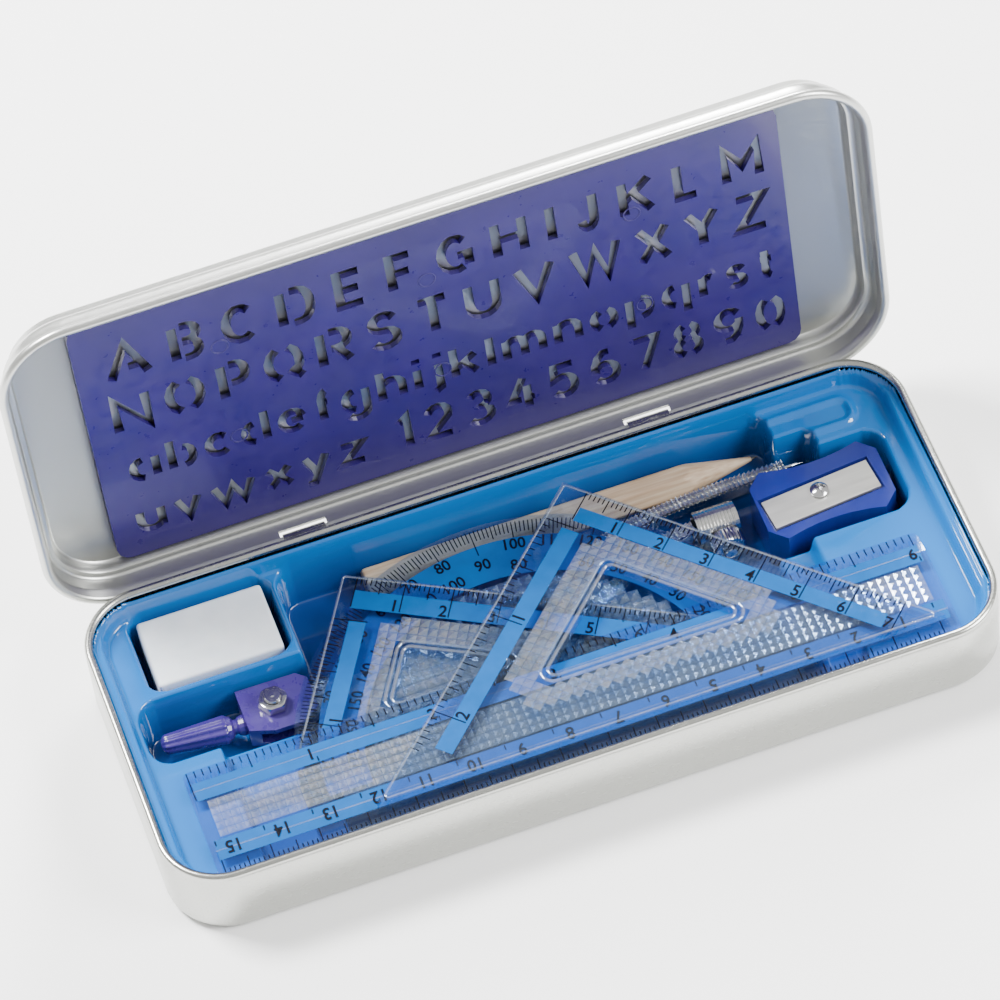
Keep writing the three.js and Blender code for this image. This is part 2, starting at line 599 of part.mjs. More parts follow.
const SMALL = {
  a: [LEFT_BOWL, stem(1)],
  b: [stem(0, 1.5), RIGHT_BOWL],
  c: [arc(0.5, 0.5, 0.5, 0.5, 48, 312)],
  d: [LEFT_BOWL, stem(1, 1.5)],
  e: [arc(0.5, 0.5, 0.5, 0.5, 12, 315), path(0.48, 0.5, 1, 0.52)],
  f: [[[0.4, 0], [0.4, 1.15], ...arc(0.85, 1.15, 0.4, 0.36, 160, 90)], path(0, 0.95, 0.9, 0.95)],
  g: [LEFT_BOWL, [[1, 1], ...arc(0.52, -0.1, 0.48, 0.4, 0, -150)]],
  h: [stem(0, 1.5), arch(0, 1)],
  i: [stem(0), path(0, 1.38, 0, 1.62)],
  j: [path(1, 1, 1, -0.3, 0, -0.45), path(1, 1.38, 1, 1.62)],
  k: [stem(0, 1.5), path(1, 1, 0, 0.35), path(0.4, 0.62, 1, 0)],
  l: [stem(0, 1.5)],
  m: [stem(0), arch(0, 0.5), arch(0.5, 1)],
  n: [stem(0), arch(0, 1)],
  o: halves(0.5, 0.5, 0.5, 0.5),
  p: [stem(0, 1, -0.5), RIGHT_BOWL],
  q: [LEFT_BOWL, stem(1, 1, -0.5)],
  r: [stem(0.1), arc(0.6, 0.6, 0.5, 0.38, 165, 60)],
  s: [[...arc(0.5, 0.76, 0.4, 0.24, 25, 250), ...arc(0.5, 0.25, 0.42, 0.26, 80, -155)]],
  t: [[[0.45, 1.4], ...arc(0.85, 0.3, 0.4, 0.3, 180, 270)], path(0.05, 0.95, 0.95, 0.95)],
  u: [[[0, 1], ...arc(0.5, 0.4, 0.5, 0.4, 180, 330)], stem(1)],
  v: [path(0, 1, 0.5, 0, 1, 1)],
  w: [path(0, 1, 0.25, 0, 0.5, 0.9, 0.75, 0, 1, 1)],
  x: [path(0, 0, 1, 1), path(0, 1, 1, 0)],
  y: [path(0, 1, 0.5, 0.05), path(1, 1, 0.3, -0.45, 0, -0.45)],
  z: [path(0, 1, 1, 1, 0, 0, 1, 0)],
};
const DIGITS = {
  1: [path(0, 0.8, 1, 1, 1, 0)],
  2: [[...arc(0.5, 0.72, 0.48, 0.28, 165, -25), [0, 0], [1, 0]]],
  3: [[...arc(0.45, 0.76, 0.42, 0.24, 150, -75), ...arc(0.45, 0.26, 0.5, 0.26, 75, -150)]],
  4: [path(0.6, 1, 0, 0.3, 0.42, 0.3), path(0.74, 0.72, 0.74, 0), path(0.74, 0.3, 1.02, 0.3)],
  5: [[[0.95, 1], [0.12, 1], [0.08, 0.56], ...arc(0.48, 0.32, 0.5, 0.32, 120, -145)]],
  6: [arc(0.6, 0.42, 0.58, 0.58, 78, 190), arc(0.5, 0.3, 0.5, 0.3, 140, -145)],
  7: [path(0, 1, 1, 1, 0.35, 0)],
  8: [...halves(0.5, 0.77, 0.42, 0.23), ...halves(0.5, 0.26, 0.5, 0.26)],
  9: [arc(0.4, 0.58, 0.58, 0.58, 258, 370), arc(0.5, 0.7, 0.5, 0.3, -40, -325)],
  0: halves(0.5, 0.5, 0.5, 0.5),
};

// Widths between the middles of the outer strokes; the letters not listed here take the row's own width.
const CAPITAL_WIDTHS = {
  A: 7.6, B: 4.9, D: 6, E: 5, F: 4.6, I: 0, J: 3.4, L: 4.2, M: 6.9,
  N: 6.4, O: 6.2, P: 4.9, Q: 6.2, V: 7, W: 9.2,
};
const SMALL_WIDTHS = { a: 4.8, f: 2.4, i: 0, j: 1.2, l: 0, m: 7.6, r: 2.6, s: 3.4, t: 2.6, w: 8 };
const DIGIT_WIDTHS = { 1: 1.8 };
const capitals = { width: 5.6, widths: CAPITAL_WIDTHS, height: 8.7, stroke: 2, strokes: CAPITALS };
const small = { width: 4.4, widths: SMALL_WIDTHS, height: 5.1, stroke: 1.8, strokes: SMALL };
const digits = { width: 4.7, widths: DIGIT_WIDTHS, height: 8.5, stroke: 1.8, strokes: DIGITS };

// Each row: its letters, the middles of its first and last strokes, and the baseline.
const ROWS = [
  { ...capitals, text: 'ABCDEFGHIJKLM', from: -66.6, to: 68.8, base: 16.6 },
  { ...capitals, text: 'NOPQRSTUVWXYZ', from: -67.4, to: 68.8, base: 2.2 },
  { ...small, text: 'abcdefghijklmnopqrst', from: -66.6, to: 69.1, base: -12.4 },
  { ...small, text: 'uvwxyz', from: -67.4, to: -20.3, base: -27 },
  { ...digits, text: '1234567890', from: -12.3, to: 69.8, base: -27.4 },
];

/** One stroke as a flat outline of even width, with mitred corners and square ends. */
function strokeOutline(points, width) {
  const at = points.map(([x, y]) => new THREE.Vector2(x, y));
  const way = (i) => at[i + 1].clone().sub(at[i]).normalize();
  const side = (sign) => at.map((p, i) => {
    const before = way(Math.max(i - 1, 0));
    const after = way(Math.min(i, at.length - 2));
    const middle = before.clone().add(after).normalize();
    const miter = Math.min(1 / Math.max(middle.dot(after), 0.3), 2.2);
    return [p.x - middle.y * sign * width * 0.5 * miter, p.y + middle.x * sign * width * 0.5 * miter];
  });
  return polygon([...side(-1), ...side(1).reverse()]);
}

/** All the letter slots of a row, evenly spaced, as one solid per stroke. */
function rowSlots(row, low, high) {
  const widths = [...row.text].map((letter) => row.widths[letter] ?? row.width);
  const total = widths.reduce((sum, width) => sum + width, 0);
  const space = (row.to - row.from - total) / (widths.length - 1);
  let left = row.from;
  return [...row.text].flatMap((letter, i) => {
    const start = left;
    left += widths[i] + space;
    const place = ([x, y]) => [start + x * widths[i], row.base + y * row.height];
    return row.strokes[letter].map((points) => (
      slab(strokeOutline(points.map(place), row.stroke), low, high)
    ));
  });
}

/** The stencil, flat in the closed lid: its letters read from inside the open lid. */
function letterStencil() {
  const { length, width, thickness, corner } = STENCIL;
  const plate = loft([ring(length, width, corner, 0, 3), ring(length, width, corner, thickness, 3)]);
  return cut(plate, ...ROWS.flatMap((row) => rowSlots(row, -1, thickness + 1)));
}

// --- Assembly -------------------------------------------------------------------------------------------

function named(name, body, color, roughness, metalness) {
  const material = new THREE.MeshStandardMaterial({ color, roughness, metalness });
  const mesh = new THREE.Mesh(geometryOf(body), material);
  mesh.name = name;
  return mesh;
}

const TINPLATE = ['#c9cac6', 0.35, 0.9];
const STEEL = ['#c4c4c4', 0.3, 0.9];
const PURPLE = ['#5f4baa', 0.45, 0];
const CLEAR_BLUE = ['#9fc4ee', 0.15, 0];

const set = new THREE.Group();
set.add(
  named('tin_base', tinBase(), ...TINPLATE),
  named('tray_insert', tray(), '#0b86cf', 0.12, 0),
  named('eraser', eraser(), '#edf1f3', 0.8, 0),
  named('pencil_body', pencilWood(), '#ead4ba', 0.65, 0),
  named('pencil_lead', pencilLead(), '#3a3a3d', 0.4, 0.2),
  named('compass_head', compassHead(), ...PURPLE),
  named('compass_bolt', compassBolt(), ...STEEL),
  named('compass_nut', compassNut(), ...STEEL),
  named('compass_needle_leg', needleLeg(), ...STEEL),
  named('compass_needle', compassNeedle(), ...STEEL),
  named('compass_pencil_leg', pencilLeg(), ...STEEL),
  named('pencil_clamp', pencilClamp(), ...STEEL),
  named('clamp_nut', clampNut(), ...STEEL),
  named('sharpener_body', sharpenerBody(), '#3f57c4', 0.25, 0),
  named('sharpener_blade', sharpenerBlade(), ...STEEL),
  named('sharpener_screw', sharpenerScrew(), ...STEEL),
  named('protractor', protractor(), ...CLEAR_BLUE),
  named('set_square_60', setSquare60(), ...CLEAR_BLUE),
  named('ruler', ruler(), ...CLEAR_BLUE),
  named('set_square_45', setSquare45(), ...CLEAR_BLUE),
);

// The lid and what lies in it are drawn closed, then turned open about the lid's rolled back edge.
const hinge = new THREE.Group();
hinge.position.set(0, HINGE.y, HINGE.z);
hinge.rotation.x = -THREE.MathUtils.degToRad(HINGE.openDeg);
const closed = new THREE.Group();
closed.position.set(0, -HINGE.y, -HINGE.z);
const stencil = named('letter_stencil', letterStencil(), '#4a45a3', 0.45, 0);
const recessEdge = lidOutline().width / 2 - PANEL_INSET;
stencil.rotation.x = Math.PI;
stencil.position.set(STENCIL.x, recessEdge - GAP - STENCIL.width / 2, PANEL_Z - GAP);
closed.add(named('tin_lid', tinLid(), ...TINPLATE), stencil);
hinge.add(closed);
set.add(hinge);

export default set;
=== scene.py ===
"""Looks of the geometry set in its hinged tin: finer shapes, printing and materials around the CAD frame.

Lengths are in millimetres until they become vertices; the frame is the CAD frame, +X along the tin,
+Y towards the hinge, +Z up, from the middle of the underside.
"""
import math

import bmesh
import bpy
import numpy as np
from mathutils import Matrix, Quaternion, Vector


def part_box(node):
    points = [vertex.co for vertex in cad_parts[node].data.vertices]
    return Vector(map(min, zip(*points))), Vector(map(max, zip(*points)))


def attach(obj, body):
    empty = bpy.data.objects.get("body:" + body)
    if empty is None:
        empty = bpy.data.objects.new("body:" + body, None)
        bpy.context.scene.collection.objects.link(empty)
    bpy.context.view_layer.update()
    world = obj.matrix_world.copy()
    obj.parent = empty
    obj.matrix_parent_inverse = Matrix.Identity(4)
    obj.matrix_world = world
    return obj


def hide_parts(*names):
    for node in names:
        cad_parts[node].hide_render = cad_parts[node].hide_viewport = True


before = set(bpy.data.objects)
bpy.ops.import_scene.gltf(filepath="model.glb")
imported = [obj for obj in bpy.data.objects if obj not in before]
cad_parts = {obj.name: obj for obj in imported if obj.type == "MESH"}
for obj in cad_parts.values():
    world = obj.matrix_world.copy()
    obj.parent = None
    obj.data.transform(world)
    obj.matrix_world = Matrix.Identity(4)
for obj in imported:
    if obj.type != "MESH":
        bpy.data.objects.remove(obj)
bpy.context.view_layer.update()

MM = 0.001
HINGE_Y, HINGE_Z, OPEN_DEG = 38.5, 14.4, 96.5
TAB_X = 37.0
PIVOT = (-55.0, 5.6)  # middle of the compass's bolt
CLAMP = {"x": 43.2, "tube_y": 16.2, "z": 5.4}  # the nut's axis, and how far back the tube lies


def box_mm(node):
    """A CAD node's lowest and highest corners in millimetres."""
    return tuple(tuple(c / MM for c in corner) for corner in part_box(node))


def middle_of(node):
    low, high = box_mm(node)
    return tuple((a + b) / 2 for a, b in zip(low, high))


# --- Materials ------------------------------------------------------------------------------------

def srgb(r, g, b):
    """8-bit display colour to the linear colour that shaders take."""
    def one(c):
        c /= 255
        return c / 12.92 if c <= 0.04045 else ((c + 0.055) / 1.055) ** 2.4
    return one(r), one(g), one(b), 1.0


class Shader:
    """A material's node tree with a principled surface, built up by short calls."""

    def __init__(self, name, **surface):
        self.material = bpy.data.materials.new(name)
        self.material.use_nodes = True
        self.tree = self.material.node_tree
        self.surface = self.tree.nodes["Principled BSDF"]
        self.output = self.tree.nodes["Material Output"]
        self.coordinates = self.tree.nodes.new("ShaderNodeTexCoord").outputs["Object"]
        for socket, value in surface.items():
            self.surface.inputs[socket.replace("_", " ")].default_value = value

    def node(self, kind, inputs=None, **settings):
        made = self.tree.nodes.new("ShaderNode" + kind)
        for key, value in settings.items():
            setattr(made, key, value)
        for key, value in (inputs or {}).items():
            if isinstance(value, bpy.types.NodeSocket):
                self.tree.links.new(value, made.inputs[key])
            else:
                made.inputs[key].default_value = value
        return made

    def link(self, output, socket):
        target = self.surface.inputs[socket] if isinstance(socket, str) else socket
        self.tree.links.new(output, target)

    def noise(self, scale, stretch=(1, 1, 1), detail=3.0, rough=0.55):
        """Noise with features of 1/scale metres, drawn out along an axis by a small stretch factor."""
        placed = self.node("Mapping", {"Vector": self.coordinates, "Scale": stretch})
        return self.node("TexNoise", {
            "Vector": placed.outputs["Vector"], "Scale": scale, "Detail": detail, "Roughness": rough,
        }).outputs["Fac"]

    def ramp(self, value, low, high, at=(0.3, 0.7)):
        """Maps a 0 to 1 value to a colour or grey between two stops."""
        made = self.node("ValToRGB", {"Fac": value})
        for stop, place, colour in zip(made.color_ramp.elements, at, (low, high)):
            stop.position = place
            stop.color = colour if isinstance(colour, tuple) else (colour, colour, colour, 1)
        return made.outputs["Color"]

    def bump(self, height, distance, strength=1.0):
        made = self.node("Bump", {"Height": height, "Distance": distance, "Strength": strength})
        self.link(made.outputs["Normal"], "Normal")
        return made

    def see_through(self, clear, edge=0.0, tint=(1, 1, 1, 1)):
        """Lets the given share of light straight through, less where the surface is seen edge on."""
        facing = self.node("LayerWeight", {"Blend": 0.35}).outputs["Facing"]
        share = self.node("MapRange", {
            "Value": facing, "From Min": 0.0, "From Max": 1.0,
            "To Min": 1 - clear, "To Max": 1 - clear + edge,
        }).outputs["Result"]
        straight = self.node("BsdfTransparent", {"Color": tint})
        mixed = self.node("MixShader", {"Fac": share})
        self.tree.links.new(straight.outputs["BSDF"], mixed.inputs[1])
        self.tree.links.new(self.surface.outputs["BSDF"], mixed.inputs[2])
        self.tree.links.new(mixed.outputs["Shader"], self.output.inputs["Surface"])
        return self.material


def brushed(name, colour, low, high, stretch, scratch=0.00002, metallic=1.0):
    """Metal with fine drawn-out grain in its roughness, its tone and its relief."""
    s = Shader(name, Metallic=metallic)
    grain = s.noise(900, stretch, 4.0)
    cloud = s.noise(25, (1, 1, 1), 2.0)
    dark = tuple(c * 0.86 for c in colour[:3]) + (1,)
    s.link(s.ramp(grain, dark, colour), "Base Color")
    rough = s.node("Math", {0: grain, 1: cloud}, operation="MULTIPLY").outputs["Value"]
    s.link(s.ramp(rough, low, high, (0.1, 0.5)), "Roughness")
    s.bump(grain, scratch, 0.2)
    return s.material


def satin_tin(name, colour, low, high, metallic=1.0):
    """Plain tinplate: soft cloudy tone, very fine rolling marks and a satin shine."""
    s = Shader(name, Metallic=metallic)
    cloud = s.noise(18, (0.6, 1, 1), 2.0)
    marks = s.noise(2600, (0.25, 1, 1), 2.0)
    dark = tuple(c * 0.93 for c in colour[:3]) + (1,)
    s.link(s.ramp(cloud, dark, colour), "Base Color")
    s.link(s.ramp(marks, low, high, (0.2, 0.8)), "Roughness")
    s.bump(marks, 0.000004, 0.25)
    return s.material


def moulded(name, colour, deep, rough=0.2, coat=0.5, grain=0.00003):
    """Moulded plastic: a slight change of tone, fine surface waviness and a clear skin."""
    s = Shader(name, Coat_Weight=coat, Coat_Roughness=0.06, IOR=1.5)
    s.link(s.ramp(s.noise(60), deep, colour), "Base Color")
    s.link(s.ramp(s.noise(400), rough * 0.8, rough * 1.3), "Roughness")
    s.bump(s.noise(700, detail=2.0), grain, 0.3)
    return s.material


def tray_plastic():
    """Thin vacuum-formed sheet with painted shade: deep colour low in the wells and on the banks, lighter on
    level ground, set by height alone.
    """
    s = Shader("tray_plastic", Roughness=0.06, IOR=1.54, Coat_Weight=0.4, Coat_Roughness=0.02)
    height = s.node("SeparateXYZ", {"Vector": s.coordinates}).outputs["Z"]
    # painted shade: the base colour darkens the lower the sheet lies, with random cloud mixed in
    level = s.node("MapRange", {"Value": height, "From Min": 0.001, "From Max": 0.0165}).outputs["Result"]
    cloud = s.noise(38, (1, 1, 0.4), 2.0)
    mixed = s.node("Math", {0: level, 1: 0.7, 2: cloud}, operation="MULTIPLY_ADD")
    s.link(s.ramp(mixed.outputs["Value"], srgb(0, 46, 112), srgb(0, 98, 170), (0.4, 1.15)), "Base Color")
    s.bump(s.noise(95, detail=1.5), 0.0003, 0.4)
    return s.material


def clear_plastic():
    """Polished clear sheet: mostly light straight through, with a mirror skin and a faint blue cast."""
    s = Shader("clear_plastic", Metallic=1.0, Roughness=0.04)
    s.link(s.ramp(s.noise(35), srgb(206, 224, 245), srgb(244, 250, 255)), "Base Color")
    s.bump(s.noise(90, detail=1.0), 0.00006, 0.4)
    return s.see_through(0.965, 0.3, srgb(236, 245, 255))


def facet_plastic():
    """Moulded relief in the clear sheet, whose slopes catch the light; also laid flat on the ruler's creases
    as a painted highlight.
    """
    s = Shader("clear_facets", Metallic=0.75, Roughness=0.12)
    s.link(s.ramp(s.noise(500), srgb(190, 214, 244), srgb(255, 255, 255)), "Base Color")
    s.bump(s.noise(1500, detail=1.0), 0.00002, 0.4)
    return s.see_through(0.74, 0.3, srgb(214, 232, 252))


def printed(name, colour, clear):
    """Ink laid on the clear sheet, matt and very slightly uneven."""
    s = Shader(name, Roughness=0.6, IOR=1.2)
    deep = tuple(c * 0.85 for c in colour[:3]) + (1,)
    s.link(s.ramp(s.noise(300), deep, colour), "Base Color")
    s.bump(s.noise(2500, detail=1.0), 0.000005, 0.3)
    return s.see_through(clear)


def bare_wood():
    """Light soft wood with long grain and fine pores."""
    s = Shader("bare_wood", Roughness=0.6)
    grain = s.noise(260, (0.07, 1, 1), 5.0, 0.6)
    pores = s.noise(1500, (0.05, 1, 1), 2.0)
    both = s.node("Math", {0: grain, 1: pores}, operation="MULTIPLY").outputs["Value"]
    s.link(s.ramp(both, srgb(148, 120, 92), srgb(182, 162, 138), (0.08, 0.32)), "Base Color")
    s.bump(both, 0.00008, 0.5)
    return s.material


def soft_rubber():
    s = Shader("eraser_vinyl", Roughness=0.62, IOR=1.45, Subsurface_Weight=0.15, Subsurface_Scale=0.002)
    s.link(s.ramp(s.noise(120), srgb(204, 212, 220), srgb(222, 228, 234)), "Base Color")
    s.bump(s.noise(900), 0.00004, 0.5)
    return s.material


TIN = satin_tin("tinplate", srgb(190, 191, 186), 0.2, 0.3)
LINING = satin_tin("tin_lining", srgb(198, 199, 196), 0.28, 0.38, 0.94)
STEEL = brushed("pressed_steel", srgb(220, 220, 218), 0.14, 0.28, (0.2, 1, 1), 0.000008)
CHROME = brushed("bright_plating", srgb(214, 214, 216), 0.06, 0.16, (1, 1, 1), 0.00001)
BLADE = brushed("ground_steel", srgb(232, 231, 226), 0.3, 0.45, (0.05, 1, 1), 0.000006, 0.85)
TRAY = tray_plastic()
PURPLE = moulded("compass_plastic", srgb(54, 36, 110), srgb(42, 28, 92), 0.28, 0.4)
SHARPENER = moulded("sharpener_plastic", srgb(28, 42, 124), srgb(22, 32, 106), 0.16, 0.8)
STENCIL = moulded("stencil_plastic", srgb(40, 24, 98), srgb(34, 20, 88), 0.34, 0.2, 0.000004)
CLEAR = clear_plastic()
FACETS = facet_plastic()
BAND = printed("blue_print", srgb(0, 84, 150), 0.04)
INK = printed("black_print", srgb(6, 8, 20), 0.0)
WOOD = bare_wood()
LEAD = moulded("graphite", srgb(70, 70, 74), srgb(50, 50, 54), 0.35, 0.0)
ERASER = soft_rubber()


# --- Meshes ---------------------------------------------------------------------------------------

def piece(name, vertices, faces, material, body, smooth=True, keep_edges=None):
    """A mesh given in millimetres that rides on a CAD body and takes the given material."""
    mesh = bpy.data.meshes.new(name)
    mesh.from_pydata([tuple(c * MM for c in v) for v in vertices], [], faces)
    mesh.validate()
    mesh.materials.append(material)
    mesh.polygons.foreach_set("use_smooth", [smooth] * len(mesh.polygons))
    thing = bpy.data.objects.new(name, mesh)
    bpy.context.collection.objects.link(thing)
    if keep_edges is not None:
        mesh.set_sharp_from_angle(angle=math.radians(keep_edges))
    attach(thing, body)
    return thing


def painted(node, material):
    """Gives a carried-over CAD node its material."""
    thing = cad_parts[node]
    thing.data.materials.clear()
    thing.data.materials.append(material)


def circle(x, y, radius, z, count):
    """Points of a level circle."""
    turns = (2 * math.pi * i / count for i in range(count))
    return [(x + radius * math.cos(a), y + radius * math.sin(a), z) for a in turns]


def bevel(thing, width, segments, angle):
    made = thing.modifiers.new("soft_edges", "BEVEL")
    made.width, made.segments = width * MM, segments
    made.limit_method, made.angle_limit = "ANGLE", math.radians(angle)
    made.use_clamp_overlap = True
    made.harden_normals = False
    return thing


def ring(length, width, radius, z, steps=20, x=0.0, y=0.0):
    """One level of a rounded rectangle, anticlockwise."""
    points = []
    for quarter in range(4):
        sx = 1 if quarter in (0, 3) else -1
        sy = 1 if quarter < 2 else -1
        for i in range(steps + 1):
            a = (quarter + i / steps) * math.pi / 2
            points.append((x + sx * (length / 2 - radius) + radius * math.cos(a),
                           y + sy * (width / 2 - radius) + radius * math.sin(a), z))
    return points


def skin(rings, cap_first=False, cap_last=False, closed=False):
    """Faces through a stack of equal rings."""
    n = len(rings[0])
    vertices = [p for r in rings for p in r]
    faces = []
    last = len(rings) if closed else len(rings) - 1
    for row in range(last):
        a, b = row * n, ((row + 1) % len(rings)) * n
        faces += [(a + i, a + (i + 1) % n, b + (i + 1) % n, b + i) for i in range(n)]
    if cap_first:
        faces.append(tuple(range(n - 1, -1, -1)))
    if cap_last:
        faces.append(tuple(range((len(rings) - 1) * n, len(rings) * n)))
    return vertices, faces


def along_x(profile, y, z, sides=48, shape=lambda angle, x: 1.0):
    """A body turned about a line along +X; shape scales the radius round the turn."""
    rings = [[(x, y + r * shape(a, x) * math.cos(a), z + r * shape(a, x) * math.sin(a))
              for a in (2 * math.pi * i / sides for i in range(sides))] for x, r in profile]
    return skin(rings, True, True)


def turned_about(vertices, centre, axis, degrees):
    turn = Matrix.Rotation(math.radians(degrees), 3, axis)
    middle = Vector(centre)
    return [tuple(middle + turn @ (Vector(v) - middle)) for v in vertices]


def opened(vertices):
    """From the closed lid's place to the open one."""
    return turned_about(vertices, (0, HINGE_Y, HINGE_Z), "X", -OPEN_DEG)


def bent(inset, z, radius, start, stop, steps):
    """Points [inset, z] round an arc, from the outline side (0) over the top (90)."""
    return [(inset - radius * math.cos(math.radians(start + (stop - start) * i / steps)),
             z + radius * math.sin(math.radians(start + (stop - start) * i / steps)))
            for i in range(steps + 1)]


# --- Tin ------------------------------------------------------------------------------------------

def tin_base():
    length, width, corner = 175.0, 73.3, 13.0
    profile = (bent(2.2, 2.2, 2.2, -90, 0, 6) + [(0, 9), (0, 16.6), (0.12, 17.1)]
               + bent(0.85, 17.95, 0.85, -18, 225, 18)
               + [(0.6, 16.4), (0.6, 3)] + bent(2.2, 2.2, 1.6, 0, -90, 5))
    rings = [ring(length - 2 * i, width - 2 * i, corner - i, z) for i, z in profile]
    vertices, faces = skin(rings, True, True)
    base = piece("tin_base_skin", vertices, faces, TIN, "tin", keep_edges=50)
    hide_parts("tin_base")
    for x in (-TAB_X, TAB_X):
        hinge_tab(x)


def hinge_tab(x, width=9.0):
    """A strip of the back wall that curls round the lid's rolled edge."""
    inner, outer = 1.3, 1.8
    arc = [math.radians(90 - 225 * i / 24) for i in range(25)]
    section = ([(-2.1, inner)] + [(inner * math.cos(a), inner * math.sin(a)) for a in arc]
               + [(outer * math.cos(a), outer * math.sin(a)) for a in reversed(arc)] + [(-2.1, outer)])
    rings = [[(x + side, HINGE_Y + y, HINGE_Z + z) for y, z in section] for side in (-width / 2, width / 2)]
    vertices, faces = skin(rings, True, True)
    tab = piece("hinge_tab", vertices, faces, TIN, "tin", keep_edges=40)
    bevel(tab, 0.1, 2, 60)


def tin_lid():
    """The lid with its stepped panel and rolled edge, slotted for the hinge tabs."""
    length, width, corner = 180.8, 79.0, 15.9
    inside_step = [(4.5, 22.0), (4.2, 21.8), (4.0, 20.6), (3.85, 19.6), (3.6, 19.22), (3.2, 19.2)]
    inside_skirt = [(2.7, 19.05), (2.38, 18.7), (2.3, 18.2), (2.3, 16), (2.3, 14.9)]
    outside_skirt = [(1.75, 15.7), (1.75, 17.9), (1.85, 18.8), (2.2, 19.45)]
    outside_step = [(2.8, 19.75), (3.2, 19.8), (3.45, 20.3), (3.6, 21.9), (3.95, 22.5)]
    profile = inside_step + inside_skirt + bent(1.0, 14.4, 1.0, 180, 480, 22) + outside_skirt + outside_step
    rings = [ring(length - 2 * i, width - 2 * i, corner - i, z) for i, z in profile]
    vertices, faces = skin(rings, True, True)
    lid = piece("tin_lid_skin", opened(vertices), faces, LINING, "lid", keep_edges=50)
    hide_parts("tin_lid")
    for x in (-TAB_X, TAB_X):
        cut_slot(lid, x)
    for x in (-58.5, 58.5):
        dimple(x)


def cut_slot(lid, x, half=5.0):
    """Opens the skirt above the rolled edge where a tab passes."""
    low, high = (x - half, HINGE_Y - 2.3, HINGE_Z + 0.6), (x + half, HINGE_Y - 0.35, HINGE_Z + 2.3)
    corners = [(a, b, c) for a in (low[0], high[0]) for b in (low[1], high[1]) for c in (low[2], high[2])]
    mesh = bpy.data.meshes.new("cutter")
    quads = [(0, 1, 3, 2), (4, 6, 7, 5), (0, 4, 5, 1), (2, 3, 7, 6), (0, 2, 6, 4), (1, 5, 7, 3)]
    mesh.from_pydata([tuple(c * MM for c in v) for v in opened(corners)], [], quads)
    cutter = bpy.data.objects.new("cutter", mesh)
    bpy.context.collection.objects.link(cutter)
    made = lid.modifiers.new("slot", "BOOLEAN")
    made.operation, made.object, made.solver = "DIFFERENCE", cutter, "EXACT"
    bpy.context.view_layer.objects.active = lid
    bpy.ops.object.modifier_apply(modifier="slot")
    bpy.data.objects.remove(cutter)


def dimple(x):
    """A small pressed oval on the inside of the lid's free edge."""
    rings = []
    for t in (0, 0.35, 0.65, 0.85, 1):
        a, b = 3.35 * (1 - t * t) ** 0.5 if t < 1 else 0.05, 1.25 * (1 - t * t) ** 0.5 if t < 1 else 0.05
        y = -37.2 + 0.45 * t
        rings.append([(x + a * math.cos(v), y, 16.9 + b * math.sin(v))
                      for v in (2 * math.pi * i / 28 for i in range(28))])
    vertices, faces = skin(rings, False, True)
    piece("lid_dimple", opened(vertices), faces, LINING, "lid")


# --- Tray -----------------------------------------------------------------------------------------

# Wells of the moulded sheet: left, right, front and back edges, floor and corner radius.
WELLS = (
    (-68, 58, -33.6, 3, 9, 3),
    (-50, 50.6, -33.4, 3, 1.5, 4),
    (-46, 50.6, -4, 33.3, 1.5, 4),
    (-81.5, -40, -2.6, 12.4, 1.5, 4),
    (-77.2, -47.6, 14.5, 33.2, 2.6, 3),
    (45, 79.6, 0.6, 21.2, 1.5, 4),
    (45, 67, 18, 26, 1.5, 2.5),
    (45, 58.8, 20, 33.3, 1.5, 3),
)


def inside(x, y, x0, x1, y0, y1, radius):
    """Signed distance to a rounded rectangle, negative inside."""
    dx = np.abs(x - (x0 + x1) / 2) - (x1 - x0) / 2 + radius
    dy = np.abs(y - (y0 + y1) / 2) - (y1 - y0) / 2 + radius
    return np.hypot(np.maximum(dx, 0), np.maximum(dy, 0)) + np.minimum(np.maximum(dx, dy), 0) - radius


def blurred(field, reach):
    """Rounds every fold of a height field; reach is in grid steps."""
    size = int(3 * reach) + 1
    weights = np.exp(-0.5 * (np.arange(-size, size + 1) / reach) ** 2)
    weights /= weights.sum()
    for axis in (0, 1):
        padded = np.pad(field, [(size, size) if a == axis else (0, 0) for a in (0, 1)], mode="edge")
        field = sum(w * np.take(padded, range(i, i + field.shape[axis]), axis=axis)
                    for i, w in enumerate(weights))
    return field


